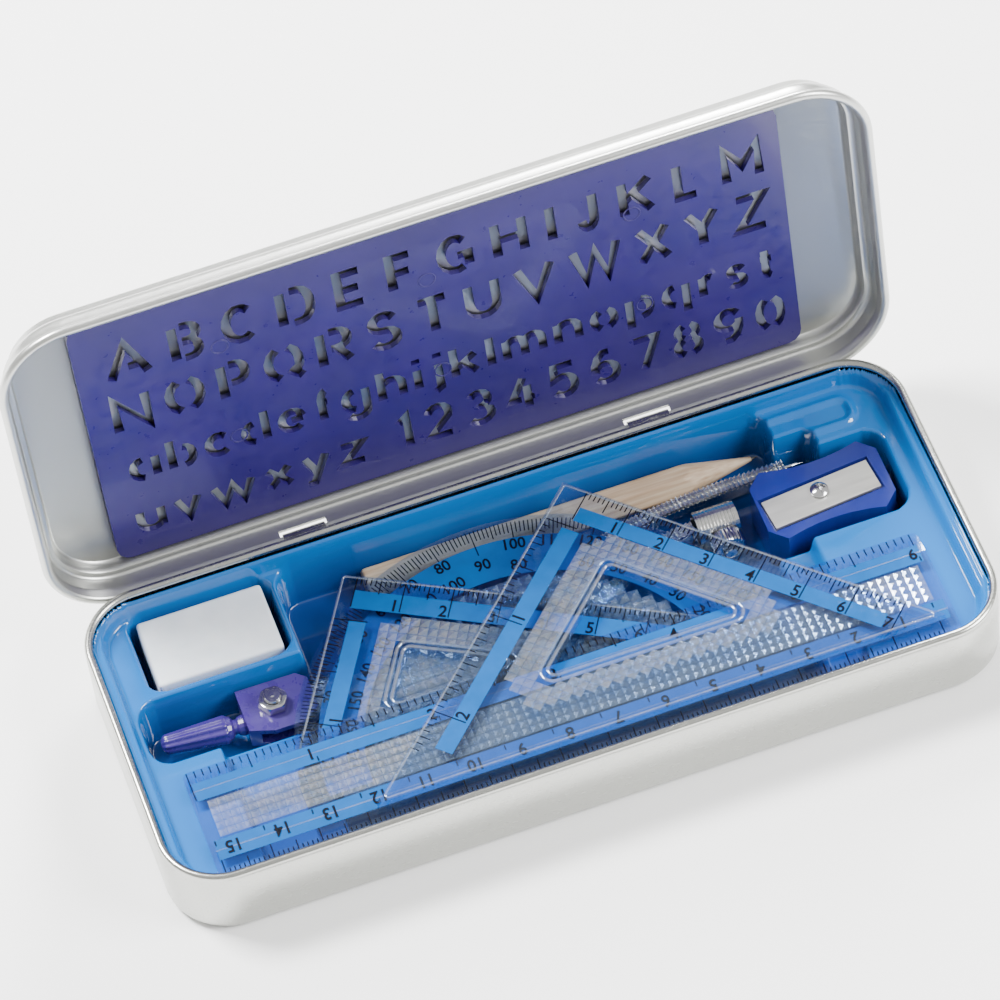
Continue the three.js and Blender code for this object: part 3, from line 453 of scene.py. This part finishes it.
def tray():
    """One moulded sheet with its wells; its edge turns up against the tin's rolled rim."""
    pitch = 0.32
    half_x, half_y = box_mm("tray_insert")[1][0] + 0.35, box_mm("tray_insert")[1][1] + 0.35
    xs = np.linspace(-half_x, half_x, int(2 * half_x / pitch) + 1)
    ys = np.linspace(-half_y, half_y, int(2 * half_y / pitch) + 1)
    x, y = np.meshgrid(xs, ys, indexing="ij")
    z = np.full_like(x, 16.4)
    z[inside(x, y, -83.3, 83.3, -33.7, 33.7, 8.3) < 0] = 13.2
    for x0, x1, y0, y1, floor, radius in WELLS:
        within = inside(x, y, x0 + 0.2, x1 - 0.2, y0 + 0.2, y1 - 0.2, radius) < 0
        z = np.where(within, np.minimum(z, floor), z)
    bank = np.clip(1 - np.abs(inside(x, y, 57.8, 76.5, 24.6, 30.6, 2.4)) / 1.1, 0, 1)
    z += np.where(z > 13, bank * 0.9, 0)
    z = blurred(z, 1.0)
    edge = inside(x, y, -half_x, half_x, -half_y, half_y, 11.2)
    z += np.clip(1 + edge / 0.7, 0, 1) * 1.1
    outline = edge < 0
    nx, ny = x.shape
    index = np.arange(nx * ny).reshape(nx, ny)
    keep = outline[:-1, :-1] & outline[1:, :-1] & outline[1:, 1:] & outline[:-1, 1:]
    quads = np.stack([index[:-1, :-1], index[1:, :-1], index[1:, 1:], index[:-1, 1:]], -1)[keep]
    used = np.unique(quads)
    renumber = np.zeros(nx * ny, int)
    renumber[used] = np.arange(len(used))
    points = np.stack([x.ravel(), y.ravel(), z.ravel()], 1)[used]
    sheet = piece("tray_sheet", points.tolist(), renumber[quads].tolist(), TRAY, "tray")
    made = sheet.modifiers.new("sheet", "SOLIDIFY")
    made.thickness, made.offset = 0.45 * MM, -1
    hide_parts("tray_insert")


# --- Flat printing --------------------------------------------------------------------------------

NARROW = 0.92  # width of the printed figures against their drawn width

_figures = {}


def figure(text):
    """Outline triangles of a short number, one unit high and centred."""
    if text not in _figures:
        curve = bpy.data.curves.new("figure", "FONT")
        curve.body = text
        curve.resolution_u = 3
        curve.offset = 0.018
        thing = bpy.data.objects.new("figure", curve)
        bpy.context.collection.objects.link(thing)
        mesh = bpy.data.meshes.new_from_object(thing.evaluated_get(bpy.context.evaluated_depsgraph_get()))
        points = np.array([v.co[:2] for v in mesh.vertices], float)
        low, high = points.min(0), points.max(0)
        points = (points - (low + high) / 2) / (high[1] - low[1])
        _figures[text] = points.tolist(), [tuple(p.vertices) for p in mesh.polygons]
        bpy.data.objects.remove(thing)
    return _figures[text]


class Sheet:
    """Flat marks gathered into one mesh that lies on a surface given by a height function."""

    def __init__(self, height, lift):
        self.height, self.lift, self.vertices, self.faces = height, lift, [], []

    def patch(self, points):
        start = len(self.vertices)
        self.vertices += [(px, py, self.height(px, py) + self.lift) for px, py in points]
        self.faces.append(tuple(range(start, start + len(points))))

    def bar(self, a, b, width):
        """A straight mark from a to b."""
        dx, dy = b[0] - a[0], b[1] - a[1]
        reach = width / 2 / math.hypot(dx, dy)
        ox, oy = -dy * reach, dx * reach
        self.patch([(a[0] - ox, a[1] - oy), (b[0] - ox, b[1] - oy),
                    (b[0] + ox, b[1] + oy), (a[0] + ox, a[1] + oy)])

    def number(self, text, at, up, size):
        """A number centred at a point, its top towards up."""
        points, faces = figure(str(text))
        start = len(self.vertices)
        for px, py in points:
            wx = at[0] + size * (px * NARROW * up[1] + py * up[0])
            wy = at[1] + size * (-px * NARROW * up[0] + py * up[1])
            self.vertices.append((wx, wy, self.height(wx, wy) + self.lift))
        self.faces += [tuple(start + i for i in f) for f in faces]

    def finish(self, name, material, body):
        return piece(name, self.vertices, self.faces, material, body, smooth=False)


def scale_marks(ink, start, direction, inward, length, unit, parts, figures,
                shift=-1.3, size=2.8, deep=6.3, fine=1.0):
    """Graduations along an edge: unit is one unit's length, parts its divisions, shift moves the numbers."""
    up = (-inward[0], -inward[1])
    for i in range(int(round(length / unit * parts + 1e-6)) + 1):
        along = i * unit / parts
        part = fine * (4.0 if i * 2 % parts == 0 else (3.0 if i * 4 % parts == 0 else 2.1))
        reach = 7.7 if i % parts == 0 else part
        x, y = start[0] + direction[0] * along, start[1] + direction[1] * along
        ink.bar((x + inward[0] * 0.3, y + inward[1] * 0.3),
                (x + inward[0] * reach, y + inward[1] * reach), 0.26)
    for value in figures:
        along = value * unit + shift
        if along <= length + 0.5:
            ink.number(value, (start[0] + direction[0] * along + inward[0] * deep,
                               start[1] + direction[1] * along + inward[1] * deep), up, size)


def in_polygon(x, y, corners):
    """Smallest distance to a convex polygon's edges; positive inside. Corners run anticlockwise."""
    nearest = 1e9
    for (ax, ay), (bx, by) in zip(corners, corners[1:] + corners[:1]):
        run = math.hypot(bx - ax, by - ay)
        nearest = min(nearest, ((bx - ax) * (y - ay) - (by - ay) * (x - ax)) / run)
    return nearest


def studs(name, body, top, wanted, box, pitch=2.35, angle=0.0, rise=0.5, sunk=0.02):
    """Rows of small square pyramids; wanted(x, y) says where they stand."""
    vertices, faces = [], []
    c, s = math.cos(angle), math.sin(angle)
    x0, x1, y0, y1 = box
    reach = int(max(x1 - x0, y1 - y0) / pitch) + 2
    mx, my = (x0 + x1) / 2, (y0 + y1) / 2
    h = pitch / 2 * 0.97
    for i in range(-reach, reach + 1):
        for j in range(-reach, reach + 1):
            u, v = i * pitch, j * pitch
            x, y = mx + c * u - s * v, my + s * u + c * v
            if not wanted(x, y):
                continue
            n = len(vertices)
            for du, dv in ((-h, -h), (h, -h), (h, h), (-h, h)):
                vertices.append((x + c * du - s * dv, y + s * du + c * dv, top - sunk))
            vertices.append((x, y, top + rise))
            faces += [(n + k, n + (k + 1) % 4, n + 4) for k in range(4)]
    piece(name, vertices, faces, FACETS, body, smooth=False)


def bead_loop(name, corners, radius, top, body, width=0.75, rise=0.3):
    """A half-round raised line that follows a closed path with rounded corners."""
    path = []
    n = len(corners)
    for k in range(n):
        before, here, after = Vector(corners[k - 1]), Vector(corners[k]), Vector(corners[(k + 1) % n])
        a, b = (before - here).normalized(), (after - here).normalized()
        half = math.acos(max(-1, min(1, a.dot(b)))) / 2
        tangent = radius / math.tan(half)
        centre = here + (a + b).normalized() * (radius / math.sin(half))
        start, stop = here + a * tangent - centre, here + b * tangent - centre
        sweep = math.atan2(start.x * stop.y - start.y * stop.x, start.dot(stop))
        for i in range(9):
            t = sweep * i / 8
            path.append((centre.x + start.x * math.cos(t) - start.y * math.sin(t),
                         centre.y + start.x * math.sin(t) + start.y * math.cos(t)))
    rings = []
    count = len(path)
    for k, (px, py) in enumerate(path):
        qx, qy = path[(k + 1) % count]
        ox, oy = path[k - 1]
        run = math.hypot(qx - ox, qy - oy) or 1
        nx, ny = -(qy - oy) / run, (qx - ox) / run
        rings.append([(px + nx * width / 2 * math.cos(t), py + ny * width / 2 * math.cos(t),
                       top - 0.02 + rise * math.sin(t)) for t in (math.pi * m / 8 for m in range(9))])
    n = 9
    vertices = [p for r in rings for p in r]
    faces = [(k * n + m, ((k + 1) % count) * n + m, ((k + 1) % count) * n + m + 1, k * n + m + 1)
             for k in range(count) for m in range(n - 1)]
    piece(name, vertices, faces, FACETS, body)


def grown(corners, distance):
    """A convex polygon with every edge moved out by distance."""
    lines = []
    for (ax, ay), (bx, by) in zip(corners, corners[1:] + corners[:1]):
        run = math.hypot(bx - ax, by - ay)
        nx, ny = (by - ay) / run, -(bx - ax) / run
        lines.append((nx, ny, nx * ax + ny * ay + distance))
    out = []
    for (a1, b1, c1), (a2, b2, c2) in zip(lines[-1:] + lines[:-1], lines):
        det = a1 * b2 - a2 * b1
        out.append(((c1 * b2 - c2 * b1) / det, (a1 * c2 - a2 * c1) / det))
    return out


# --- Drawing aids ---------------------------------------------------------------------------------

def triangle(x, y, height, left, right):
    """Corners of a set square, anticlockwise from its right angle's corner at the back."""
    run_left = height / math.tan(math.radians(left))
    run_right = height / math.tan(math.radians(right))
    return [(x, y), (x - run_left, y - height), (x + run_right, y - height)]


def away(x, y, corners):
    """Distance from a point to a polygon that it lies outside of; 0 inside."""
    if in_polygon(x, y, corners) > 0:
        return 0.0
    nearest = 1e9
    for (ax, ay), (bx, by) in zip(corners, corners[1:] + corners[:1]):
        run = (bx - ax) ** 2 + (by - ay) ** 2
        t = max(0.0, min(1.0, ((x - ax) * (bx - ax) + (y - ay) * (by - ay)) / run))
        nearest = min(nearest, math.hypot(x - ax - t * (bx - ax), y - ay - t * (by - ay)))
    return nearest


CM, INCH = 10.0, 25.4
CENTIMETRES_60 = {
    "begin": 3.5, "unit": CM, "parts": 10,
    "figures": range(1, 7), "band": (3.4, 68.0, 3.6, 8.0),
}
INCHES_60 = {
    "begin": 11.0, "unit": INCH, "parts": 16,
    "figures": range(1, 2), "band": (11.0, 39.0, 3.9, 7.4),
}
CENTIMETRES_45 = {
    "begin": 5.75, "unit": CM, "parts": 10,
    "figures": range(1, 8), "band": (6.0, 73.7, 4.4, 7.9),
}
INCHES_45 = {
    "begin": 9.5, "unit": INCH, "parts": 16,
    "figures": range(1, 3), "band": (10.3, 68.0, 4.7, 8.5),
}


def set_square(node, left_deg, right_deg, window_at, right_scale, left_scale):
    """Printing, studs and window rims of a set square; both scales leave its right angle.

    window_at is the window's rise, height and shift from the square's own triangle. A scale has its first
    mark's distance from the corner, its unit, divisions and figures, and the band's start, end and edges.
    """
    low, high = box_mm(node)
    top, height = high[2], high[1] - low[1]
    apex_x = low[0] + height / math.tan(math.radians(left_deg))
    outer = triangle(apex_x, high[1], height, left_deg, right_deg)
    rise, window_height, shift = window_at
    window = triangle(apex_x + shift, low[1] + rise + window_height, window_height, left_deg, right_deg)
    apex, left, right = outer
    level = lambda x, y: top
    ink, band = Sheet(level, 0.05), Sheet(level, 0.02)
    for end, scale, turn in ((right, right_scale, 1), (left, left_scale, -1)):
        begin, unit, parts = scale["begin"], scale["unit"], scale["parts"]
        first, last, near, far = scale["band"]
        length = math.dist(end, apex)
        d = ((end[0] - apex[0]) / length, (end[1] - apex[1]) / length)
        inward = (d[1] * turn, -d[0] * turn)
        start = (apex[0] + d[0] * begin, apex[1] + d[1] * begin)
        scale_marks(ink, start, d, inward, last - begin + 2, unit, parts, scale["figures"])
        lane = [(near, first), (near, last), (far, last), (far, first)]
        band.patch([(apex[0] + d[0] * a + inward[0] * w, apex[1] + d[1] * a + inward[1] * w)
                    for w, a in lane])
    ink.finish(node + "_ink", INK, node)
    band.finish(node + "_band", BAND, node)

    def wanted(x, y):
        return 1.9 < away(x, y, window) < 7.0 and in_polygon(x, y, outer) > 2.0 and leg_clear(x, y, outer)

    turn = math.radians(-right_deg)
    studs(node + "_studs", node, top, wanted, (low[0], high[0], low[1], high[1]), 2.0, turn, 0.4)
    bead_loop(node + "_edge", grown(outer, -0.55), 0.6, top, node, 0.5, 0.16)
    bead_loop(node + "_rim_outer", grown(window, 1.75), 2.6, top, node, 0.8, 0.45)
    bead_loop(node + "_rim_inner", grown(window, 0.5), 1.6, top, node, 0.8, 0.4)


def leg_clear(x, y, outer):
    """Whether a point keeps clear of the two printed legs."""
    apex, left, right = outer

    def off(a, b):
        run_x, run_y = b[0] - a[0], b[1] - a[1]
        return abs(run_x * (y - a[1]) - run_y * (x - a[0])) / math.hypot(run_x, run_y)

    return off(apex, left) > 9.4 and off(apex, right) > 9.0


def ruler():
    (x0, y0, _), (x1, y1, top) = box_mm("ruler")
    slope, fall = 5.5, 0.9

    def level(x, y):
        reach = min(y - y0, y1 - y)
        return top - fall * max(0.0, 1 - reach / slope)

    ink, band = Sheet(level, 0.16), Sheet(level, 0.03)
    scale_marks(ink, (x0 + 0.9, y1), (1, 0), (0, -1), 6 * INCH, INCH, 16, range(1, 7), -1.1, deep=5.6)
    scale_marks(ink, (x1 - 3.6, y0), (-1, 0), (0, 1), 15 * CM, CM, 10, range(1, 16), -3.1,
                deep=5.6, fine=0.62)
    for edge, way in ((y1, -1), (y0, 1)):
        for near, far in ((3.4, slope), (slope, 7.9)):
            band.patch([(x0 + 1.2, edge + way * near), (x1 - 1.2, edge + way * near),
                        (x1 - 1.2, edge + way * far), (x0 + 1.2, edge + way * far)])
    ink.finish("ruler_ink", INK, "ruler")
    band.finish("ruler_band", BAND, "ruler")
    wanted = lambda x, y: x0 + 2.6 < x < x1 - 2.6 and y0 + 8.9 < y < y1 - 8.7
    studs("ruler_studs", "ruler", top, wanted, (x0, x1, y0, y1), 1.8, rise=0.36)
    # painted highlight: a lighter, less clear strip laid flat along each crease of the sloped edges
    crease_highlight = Sheet(level, 0.04)
    for y in (y0 + slope, y1 - slope):
        crease_highlight.bar((x0 + 1, y), (x1 - 1, y), 0.3)
    crease_highlight.finish("ruler_crease_highlight", FACETS, "ruler")
    painted("ruler", CLEAR)


def protractor():
    (x0, _, _), (x1, back, top) = box_mm("protractor")
    radius = (x1 - x0) / 2
    cx, cy = (x0 + x1) / 2, back - radius
    level = lambda x, y: top
    ink, band = Sheet(level, 0.05), Sheet(level, 0.02)
    for degree in range(0, 181):
        a = math.radians(180 - degree)
        reach = 4.9 if degree % 10 == 0 else (4.3 if degree % 5 == 0 else 3.6)
        reach = 7.2 if degree == 90 else reach
        ink.bar((cx + (radius - 1.0) * math.cos(a), cy + (radius - 1.0) * math.sin(a)),
                (cx + (radius - reach) * math.cos(a), cy + (radius - reach) * math.sin(a)), 0.24)
        if degree % 10 == 0 and 0 < degree < 180:
            rows = ((90, 9.7),) if degree == 90 else ((degree, 6.4), (180 - degree, 11.6))
            for value, depth in rows:
                reach = radius - depth
                way = (math.cos(a), math.sin(a))
                ink.number(value, (cx + reach * way[0], cy + reach * way[1]), way, 2.7)
    for k in range(90):
        a, b = math.pi * k / 90, math.pi * (k + 1) / 90
        band.patch([(cx + (radius - r) * math.cos(t), cy + (radius - r) * math.sin(t))
                    for t, r in ((a, 4.9), (b, 4.9), (b, 14.0), (a, 14.0))])
    ink.finish("protractor_ink", INK, "protractor")
    band.finish("protractor_band", BAND, "protractor")

    def wanted(x, y):
        if y > cy:
            return math.hypot(x - cx, y - cy) < radius - 15
        return y > cy - 7 and abs(x - cx) < 44

    area = (cx - 48, cx + 48, cy - 8, cy + 40)
    studs("protractor_studs", "protractor", top, wanted, area, rise=0.1, sunk=0.4)
    painted("protractor", CLEAR)


# --- Small things ---------------------------------------------------------------------------------

def eraser():
    """A plain block with soft, slightly worn edges."""
    mesh = bpy.data.meshes.new("eraser_block")
    made = bmesh.new()
    bmesh.ops.create_cube(made, size=1.0)
    low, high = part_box("eraser")
    bmesh.ops.scale(made, vec=high - low, verts=made.verts)
    every = made.edges[:] + made.verts[:]
    bmesh.ops.bevel(made, geom=every, offset=0.9 * MM, segments=5, affect="EDGES", profile=0.6)
    bmesh.ops.translate(made, vec=(low + high) / 2, verts=made.verts)
    made.to_mesh(mesh)
    made.free()
    mesh.materials.append(ERASER)
    mesh.polygons.foreach_set("use_smooth", [True] * len(mesh.polygons))
    block = bpy.data.objects.new("eraser_block", mesh)
    bpy.context.collection.objects.link(block)
    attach(block, "eraser")
    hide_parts("eraser")


def pencil():
    """A bare hexagonal pencil whose cone meets the flats in scallops."""
    (back, _, low), (wood_end, _, high) = box_mm("pencil_body")
    _, y, z = middle_of("pencil_body")
    flat, wood_end, tip = (high - low) / 2, wood_end + 2.8, box_mm("pencil_lead")[1][0]
    cone = wood_end - 20.5
    sides = 120
    stations = [back, back + 0.15, back + 0.4] + [back + 1 + i for i in range(int(cone - back) - 1)] \
        + [cone + (wood_end - cone) * i / 60 for i in range(61)]
    rings = []
    for x in stations:
        limit = 0.46 + (4.7 - 0.46) * (wood_end - x) / (wood_end - cone)
        ease = max(0.0, 0.25 - (x - back)) if x < back + 0.4 else 0.0
        row = []
        for i in range(sides):
            a = 2 * math.pi * i / sides
            off = (a + math.pi / 6 - math.pi / 2) % (math.pi / 3) - math.pi / 6
            hexed = min(flat / math.cos(off), flat * 1.118)
            r = min(hexed - ease, limit)
            row.append((x, y + r * math.cos(a), z + r * math.sin(a)))
        rings.append(row)
    vertices, faces = skin(rings, True, True)
    wood = piece("pencil_wood", vertices, faces, WOOD, "pencil", keep_edges=35)
    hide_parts("pencil_body")
    profile = [(back - 0.02, 0.9), (back - 0.02, 1.0), (cone + 12, 1.0), (wood_end - 0.1, 0.4), (tip, 0.05)]
    vertices, faces = along_x(profile, y, z, 32)
    lead = piece("pencil_point", vertices, faces, LEAD, "pencil", keep_edges=50)
    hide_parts("pencil_lead")


def spline(points, steps):
    """Even stations on a smooth line through the given points: place and direction."""
    dense = []
    padded = [points[0]] + list(points) + [points[-1]]
    for k in range(len(points) - 1):
        p0, p1, p2, p3 = (Vector(padded[k + i]) for i in range(4))
        for i in range(60):
            t = i / 60
            dense.append(0.5 * (2 * p1 + (p2 - p0) * t + (2 * p0 - 5 * p1 + 4 * p2 - p3) * t * t
                                + (3 * p1 - p0 - 3 * p2 + p3) * t ** 3))
    dense.append(Vector(points[-1]))
    lengths = [0.0]
    for a, b in zip(dense, dense[1:]):
        lengths.append(lengths[-1] + (b - a).length)
    out = []
    for i in range(steps + 1):
        want = lengths[-1] * i / steps
        k = max(0, min(len(dense) - 2, int(np.searchsorted(lengths, want)) - 1))
        t = (want - lengths[k]) / max(lengths[k + 1] - lengths[k], 1e-9)
        out.append((dense[k].lerp(dense[k + 1], t), (dense[k + 1] - dense[k]).normalized(), want))
    return out


def ribbed_leg(name, body, points, start_width, end_width, low, high, pitch=1.0):
    """A pressed strip with cross ribs, scalloped edges and a groove down the middle."""
    stations = spline(points, 980)
    total = stations[-1][2]
    across = (-1.0, -0.97, -0.86, -0.62, -0.4, -0.22, -0.12, 0.12, 0.22, 0.4, 0.62, 0.86, 0.97, 1.0)
    rings = []
    for place, way, along in stations:
        half = (start_width + (end_width - start_width) * along / total) / 2
        wave = 0.5 + 0.5 * math.cos(2 * math.pi * along / pitch)
        side = half * (0.93 + 0.07 * wave)
        row = []
        for t in across:
            ridge = high - 0.45 + 0.45 * wave - (0.3 if abs(t) < 0.15 else 0.0)
            drop = 0.45 if abs(t) > 0.9 else 0.0
            row.append((place.x - way.y * side * t, place.y + way.x * side * t, ridge - drop))
        row += [(place.x - way.y * side, place.y + way.x * side, low),
                (place.x + way.y * side, place.y - way.x * side, low)]
        rings.append(row)
    vertices, faces = skin(rings, True, True)
    return piece(name, vertices, faces, STEEL, body, keep_edges=45)


def compass():
    eye_cover("needle_eye", "compass", 7.9, 5.15, 6.05)
    eye_cover("pencil_eye", "pencil_leg", 3.4, 6.45, 7.35)
    needle = ribbed_leg("needle_leg_strip", "compass",
                        [(-44.5, 7.9), (-28, 7.9), (-12, 8.6), (26, 21.4), (60.4, 23.8)], 4.2, 3.0, 3.9, 7.1)
    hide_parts("compass_needle_leg")
    other = ribbed_leg("pencil_leg_strip", "pencil_leg",
                       [(-44.5, 3.4), (-20, 3.2), (8, 4.2), (29, 14.2), (38, 16.2)], 4.2, 3.4, 3.9, 7.1)
    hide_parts("compass_pencil_leg")
    profile = [(58.0, 0.55), (61.6, 0.6), (62.2, 0.5), (64.6, 0.05)]
    vertices, faces = along_x(profile, 23.8, 5.5, 24)
    point = piece("needle_point", vertices, faces, CHROME, "compass", keep_edges=50)
    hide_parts("compass_needle")
    grip()
    painted("compass_head", PURPLE)
    nut()
    painted("compass_bolt", CHROME)
    dome()
    clamp()


def eye_cover(name, body, y, low, high):
    """The flat eye and neck under the nut."""
    cx, cy = PIVOT
    rings = [circle(cx, cy, r, z, 40) for r, z in ((3.2, low), (3.2, high), (1.8, high), (1.8, low))]
    vertices, faces = skin(rings, closed=True)
    piece(name, vertices, faces, STEEL, body, keep_edges=40)
    corners = [(x, yy, z) for x in (cx + 2.4, cx + 11) for yy in (y - 1.7, y + 1.7) for z in (low, high)]
    quads = [(0, 1, 3, 2), (4, 6, 7, 5), (0, 4, 5, 1), (2, 3, 7, 6), (0, 2, 6, 4), (1, 5, 7, 3)]
    neck = piece(name + "_neck", corners, quads, STEEL, body, smooth=False)
    bevel(neck, 0.3, 3, 60)


def grip():
    """Fluted sleeve over the handle's taper."""
    taper = [(-77.8 + 12.2 * t / 20, 1.92 + 0.88 * t / 20) for t in range(1, 21)]
    profile = [(-78.6, 1.2), (-78.3, 1.6), (-77.8, 1.92)] + taper + [(-65.1, 2.5), (-64.8, 1.9)]
    flute = lambda a, x: 1 + 0.055 * math.cos(10 * a)
    vertices, faces = along_x(profile, 4.9, 6.3, 120, flute)
    vertices = turned_about(vertices, (-61.5, 4.9, 6.3), "Z", -5)
    piece("grip_flutes", vertices, faces, PURPLE, "compass")


def nut():
    """A chamfered hexagon nut with a washer face."""
    cx, cy, _ = middle_of("compass_nut")
    flat = 2.68
    rings = []
    outside = [(9.32, 3.05, 0), (9.5, 3.2, 0), (10.9, 3.2, 0), (11.25, 2.85, 0), (11.3, 2.5, 0)]
    bore = [(11.3, 1.82, 1), (9.32, 1.82, 1)]
    for z, limit, base in outside + bore:
        row = []
        for i in range(96):
            a = 2 * math.pi * i / 96
            off = (a % (math.pi / 3)) - math.pi / 6
            r = limit if base else min(flat / math.cos(off), limit)
            row.append((cx + r * math.cos(a), cy + r * math.sin(a), z))
        rings.append(row)
    vertices, faces = skin(rings, closed=True)
    hexagon = piece("hex_nut", vertices, faces, CHROME, "compass", keep_edges=25)
    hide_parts("compass_nut")


def dome():
    """Concentric turned end of the bolt, seen in the nut's middle."""
    cx, cy, _ = middle_of("compass_nut")
    top = box_mm("compass_bolt")[1][2]
    turned = ((1.72, 0.5), (1.6, 0.05), (1.05, 0.0), (0.92, 0.28), (0.6, 0.28), (0.5, 0.02), (0.1, -0.06))
    rings = [circle(cx, cy, r, top - drop, 36) for r, drop in turned]
    vertices, faces = skin(rings, False, True)
    piece("bolt_end", vertices, faces, CHROME, "compass", keep_edges=35)


def along_y(profile, x, z, sides, shape=lambda a: 1.0):
    rings = [[(x + r * shape(a) * math.cos(a), y, z - r * shape(a) * math.sin(a))
              for a in (2 * math.pi * i / sides for i in range(sides))] for y, r in profile]
    return rings


def clamp():
    """Split tube, its threaded stud and the knurled nut with a dished face."""
    painted("pencil_clamp", STEEL)
    (x0, _, _), (x1, _, _) = box_mm("pencil_clamp")
    steps = int((x1 - x0 - 0.8) / 0.12)
    coil = [(x0 + 0.4 + 0.12 * i, 3.62 if i % 6 < 3 else 3.4) for i in range(steps)]
    turns = [math.radians(-70 + 320 * k / 60) for k in range(61)]
    y, z = CLAMP["tube_y"], CLAMP["z"]
    vertices, faces = skin([[(x, y + r * math.cos(a), z + r * math.sin(a)) for a in turns] for x, r in coil])
    piece("clamp_knurl", vertices, faces, STEEL, "pencil_leg", keep_edges=30)
    thread = [(7.95 + 0.12 * i, 1.2 if i % 2 else 1.02) for i in range(36)]
    vertices, faces = skin(along_y(thread, CLAMP["x"], z, 32), True, True)
    piece("stud_thread", vertices, faces, STEEL, "pencil_leg", keep_edges=60)
    teeth = lambda a: 1 + 0.028 * math.cos(28 * a)
    dished_face = [(8.75, 1.55), (9.25, 1.6), (9.3, 2.6), (8.7, 2.75), (8.62, 3.0)]
    rim = [(8.9, 3.45), (9.3, 3.5), (11.7, 3.5), (12.1, 3.4), (12.38, 3.0), (12.38, 1.55)]
    vertices, faces = skin(along_y(dished_face + rim, CLAMP["x"], z, 224, teeth), closed=True)
    knurled = piece("knurled_nut", vertices, faces, CHROME, "clamp_nut", keep_edges=30)
    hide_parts("clamp_nut")


def sharpener():
    painted("sharpener_body", SHARPENER)
    painted("sharpener_blade", BLADE)
    screw()


def screw(head=1.88, crown=0.6, slot_half=0.26, slot_reach=1.3, slot_depth=0.5, shank=1.0):
    """The blade's screw: a domed head with a cross-shaped recess, on a plain shank."""
    low, high = box_mm("sharpener_screw")
    middle = middle_of("sharpener_screw")
    rings = []
    for r in (head * i / 40 for i in range(1, 41)):
        ring_points = []
        for a in (2 * math.pi * j / 120 for j in range(120)):
            x, y = r * math.cos(a), r * math.sin(a)
            inside_cross = r < slot_reach and min(abs(x), abs(y)) < slot_half
            z = high[2] - crown * (r / head) ** 2 - (slot_depth if inside_cross else 0)
            ring_points.append((middle[0] + x, middle[1] + y, z))
        rings.append(ring_points)
    for r, z in ((head, high[2] - 0.9), (shank, high[2] - 0.9), (shank, low[2])):
        rings.append(circle(middle[0], middle[1], r, z, 120))
    vertices, faces = skin(rings, True, True)
    made = piece("sharpener_screw_skin", vertices, faces, CHROME, "sharpener", keep_edges=40)
    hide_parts("sharpener_screw")


def stencil():
    painted("letter_stencil", STENCIL)
    for x in (-45.0, -2.0, 41.0):
        for y in (-15.2, 10.6):
            pin_mark(x, y)


def pin_mark(x, y, radius=1.9, face=20.4):
    """The faint ring that an ejector pin leaves on the stencil's showing face."""
    groove = face - 0.07
    profile = ((radius, face), (radius - 0.08, groove), (radius - 0.3, groove), (radius - 0.38, face))
    rings = [circle(x, y, r, z, 48) for r, z in profile]
    vertices, faces = skin(rings, closed=True)
    piece("stencil_pin_mark", opened(vertices), faces, STENCIL, "stencil")


# --- Scene ----------------------------------------------------------------------------------------

def studio():
    """A pale floor, an even world light and three soft lamps."""
    bpy.ops.mesh.primitive_plane_add(size=12, location=(0, 0, 0))
    floor = bpy.context.object
    floor.name = "floor"
    s = Shader("floor", Roughness=0.9)
    s.link(s.ramp(s.noise(3), (0.93, 0.93, 0.93, 1), (0.95, 0.95, 0.95, 1)), "Base Color")
    floor.data.materials.append(s.material)
    world = bpy.data.worlds.new("studio")
    bpy.context.scene.world = world
    world.use_nodes = True
    world.node_tree.nodes["Background"].inputs["Color"].default_value = (1, 0.995, 0.98, 1)
    world.node_tree.nodes["Background"].inputs["Strength"].default_value = 0.8
    for name, place, size, power in (
        ("key", (-0.5, 0.5, 1.0), 0.35, 46.0),
        ("fill", (0.9, -0.5, 0.9), 0.6, 30.0),
        ("back", (0.35, 1.0, 0.75), 0.3, 28.0),
    ):
        lamp = bpy.data.lights.new(name, "AREA")
        lamp.size, lamp.energy = size, power
        thing = bpy.data.objects.new(name, lamp)
        thing.location = place
        thing.rotation_mode = "QUATERNION"
        thing.rotation_quaternion = (Vector((0, 0, 0.02)) - Vector(place)).to_track_quat("-Z", "Y")
        bpy.context.collection.objects.link(thing)


def camera():
    """A long lens from the front left, well above the tin and slightly rolled."""
    azimuth, elevation, roll = map(math.radians, (-12.7, 53.72, -7.84))
    aim, distance = Vector((0.00045, 0.02317, 0.02679)), 1.24
    back = Vector((math.sin(azimuth) * math.cos(elevation), -math.cos(azimuth) * math.cos(elevation),
                   math.sin(elevation)))
    lens = bpy.data.cameras.new("camera")
    lens.lens, lens.sensor_width = 223.3, 36
    lens.clip_start, lens.clip_end = 0.05, 20
    eye = bpy.data.objects.new("camera", lens)
    eye.rotation_mode = "QUATERNION"
    eye.rotation_quaternion = (-back).to_track_quat("-Z", "Y") @ Quaternion((0, 0, 1), roll)
    eye.location = aim + back * distance
    bpy.context.collection.objects.link(eye)
    bpy.context.scene.camera = eye


tin_base()
tin_lid()
tray()
eraser()
pencil()
compass()
sharpener()
stencil()
protractor()
set_square("set_square_60", 60, 30, (5, 11.8, 6.4), CENTIMETRES_60, INCHES_60)
painted("set_square_60", CLEAR)
ruler()
set_square("set_square_45", 45, 45, (15.8, 20.7, 1.6), CENTIMETRES_45, INCHES_45)
painted("set_square_45", CLEAR)
studio()
camera()
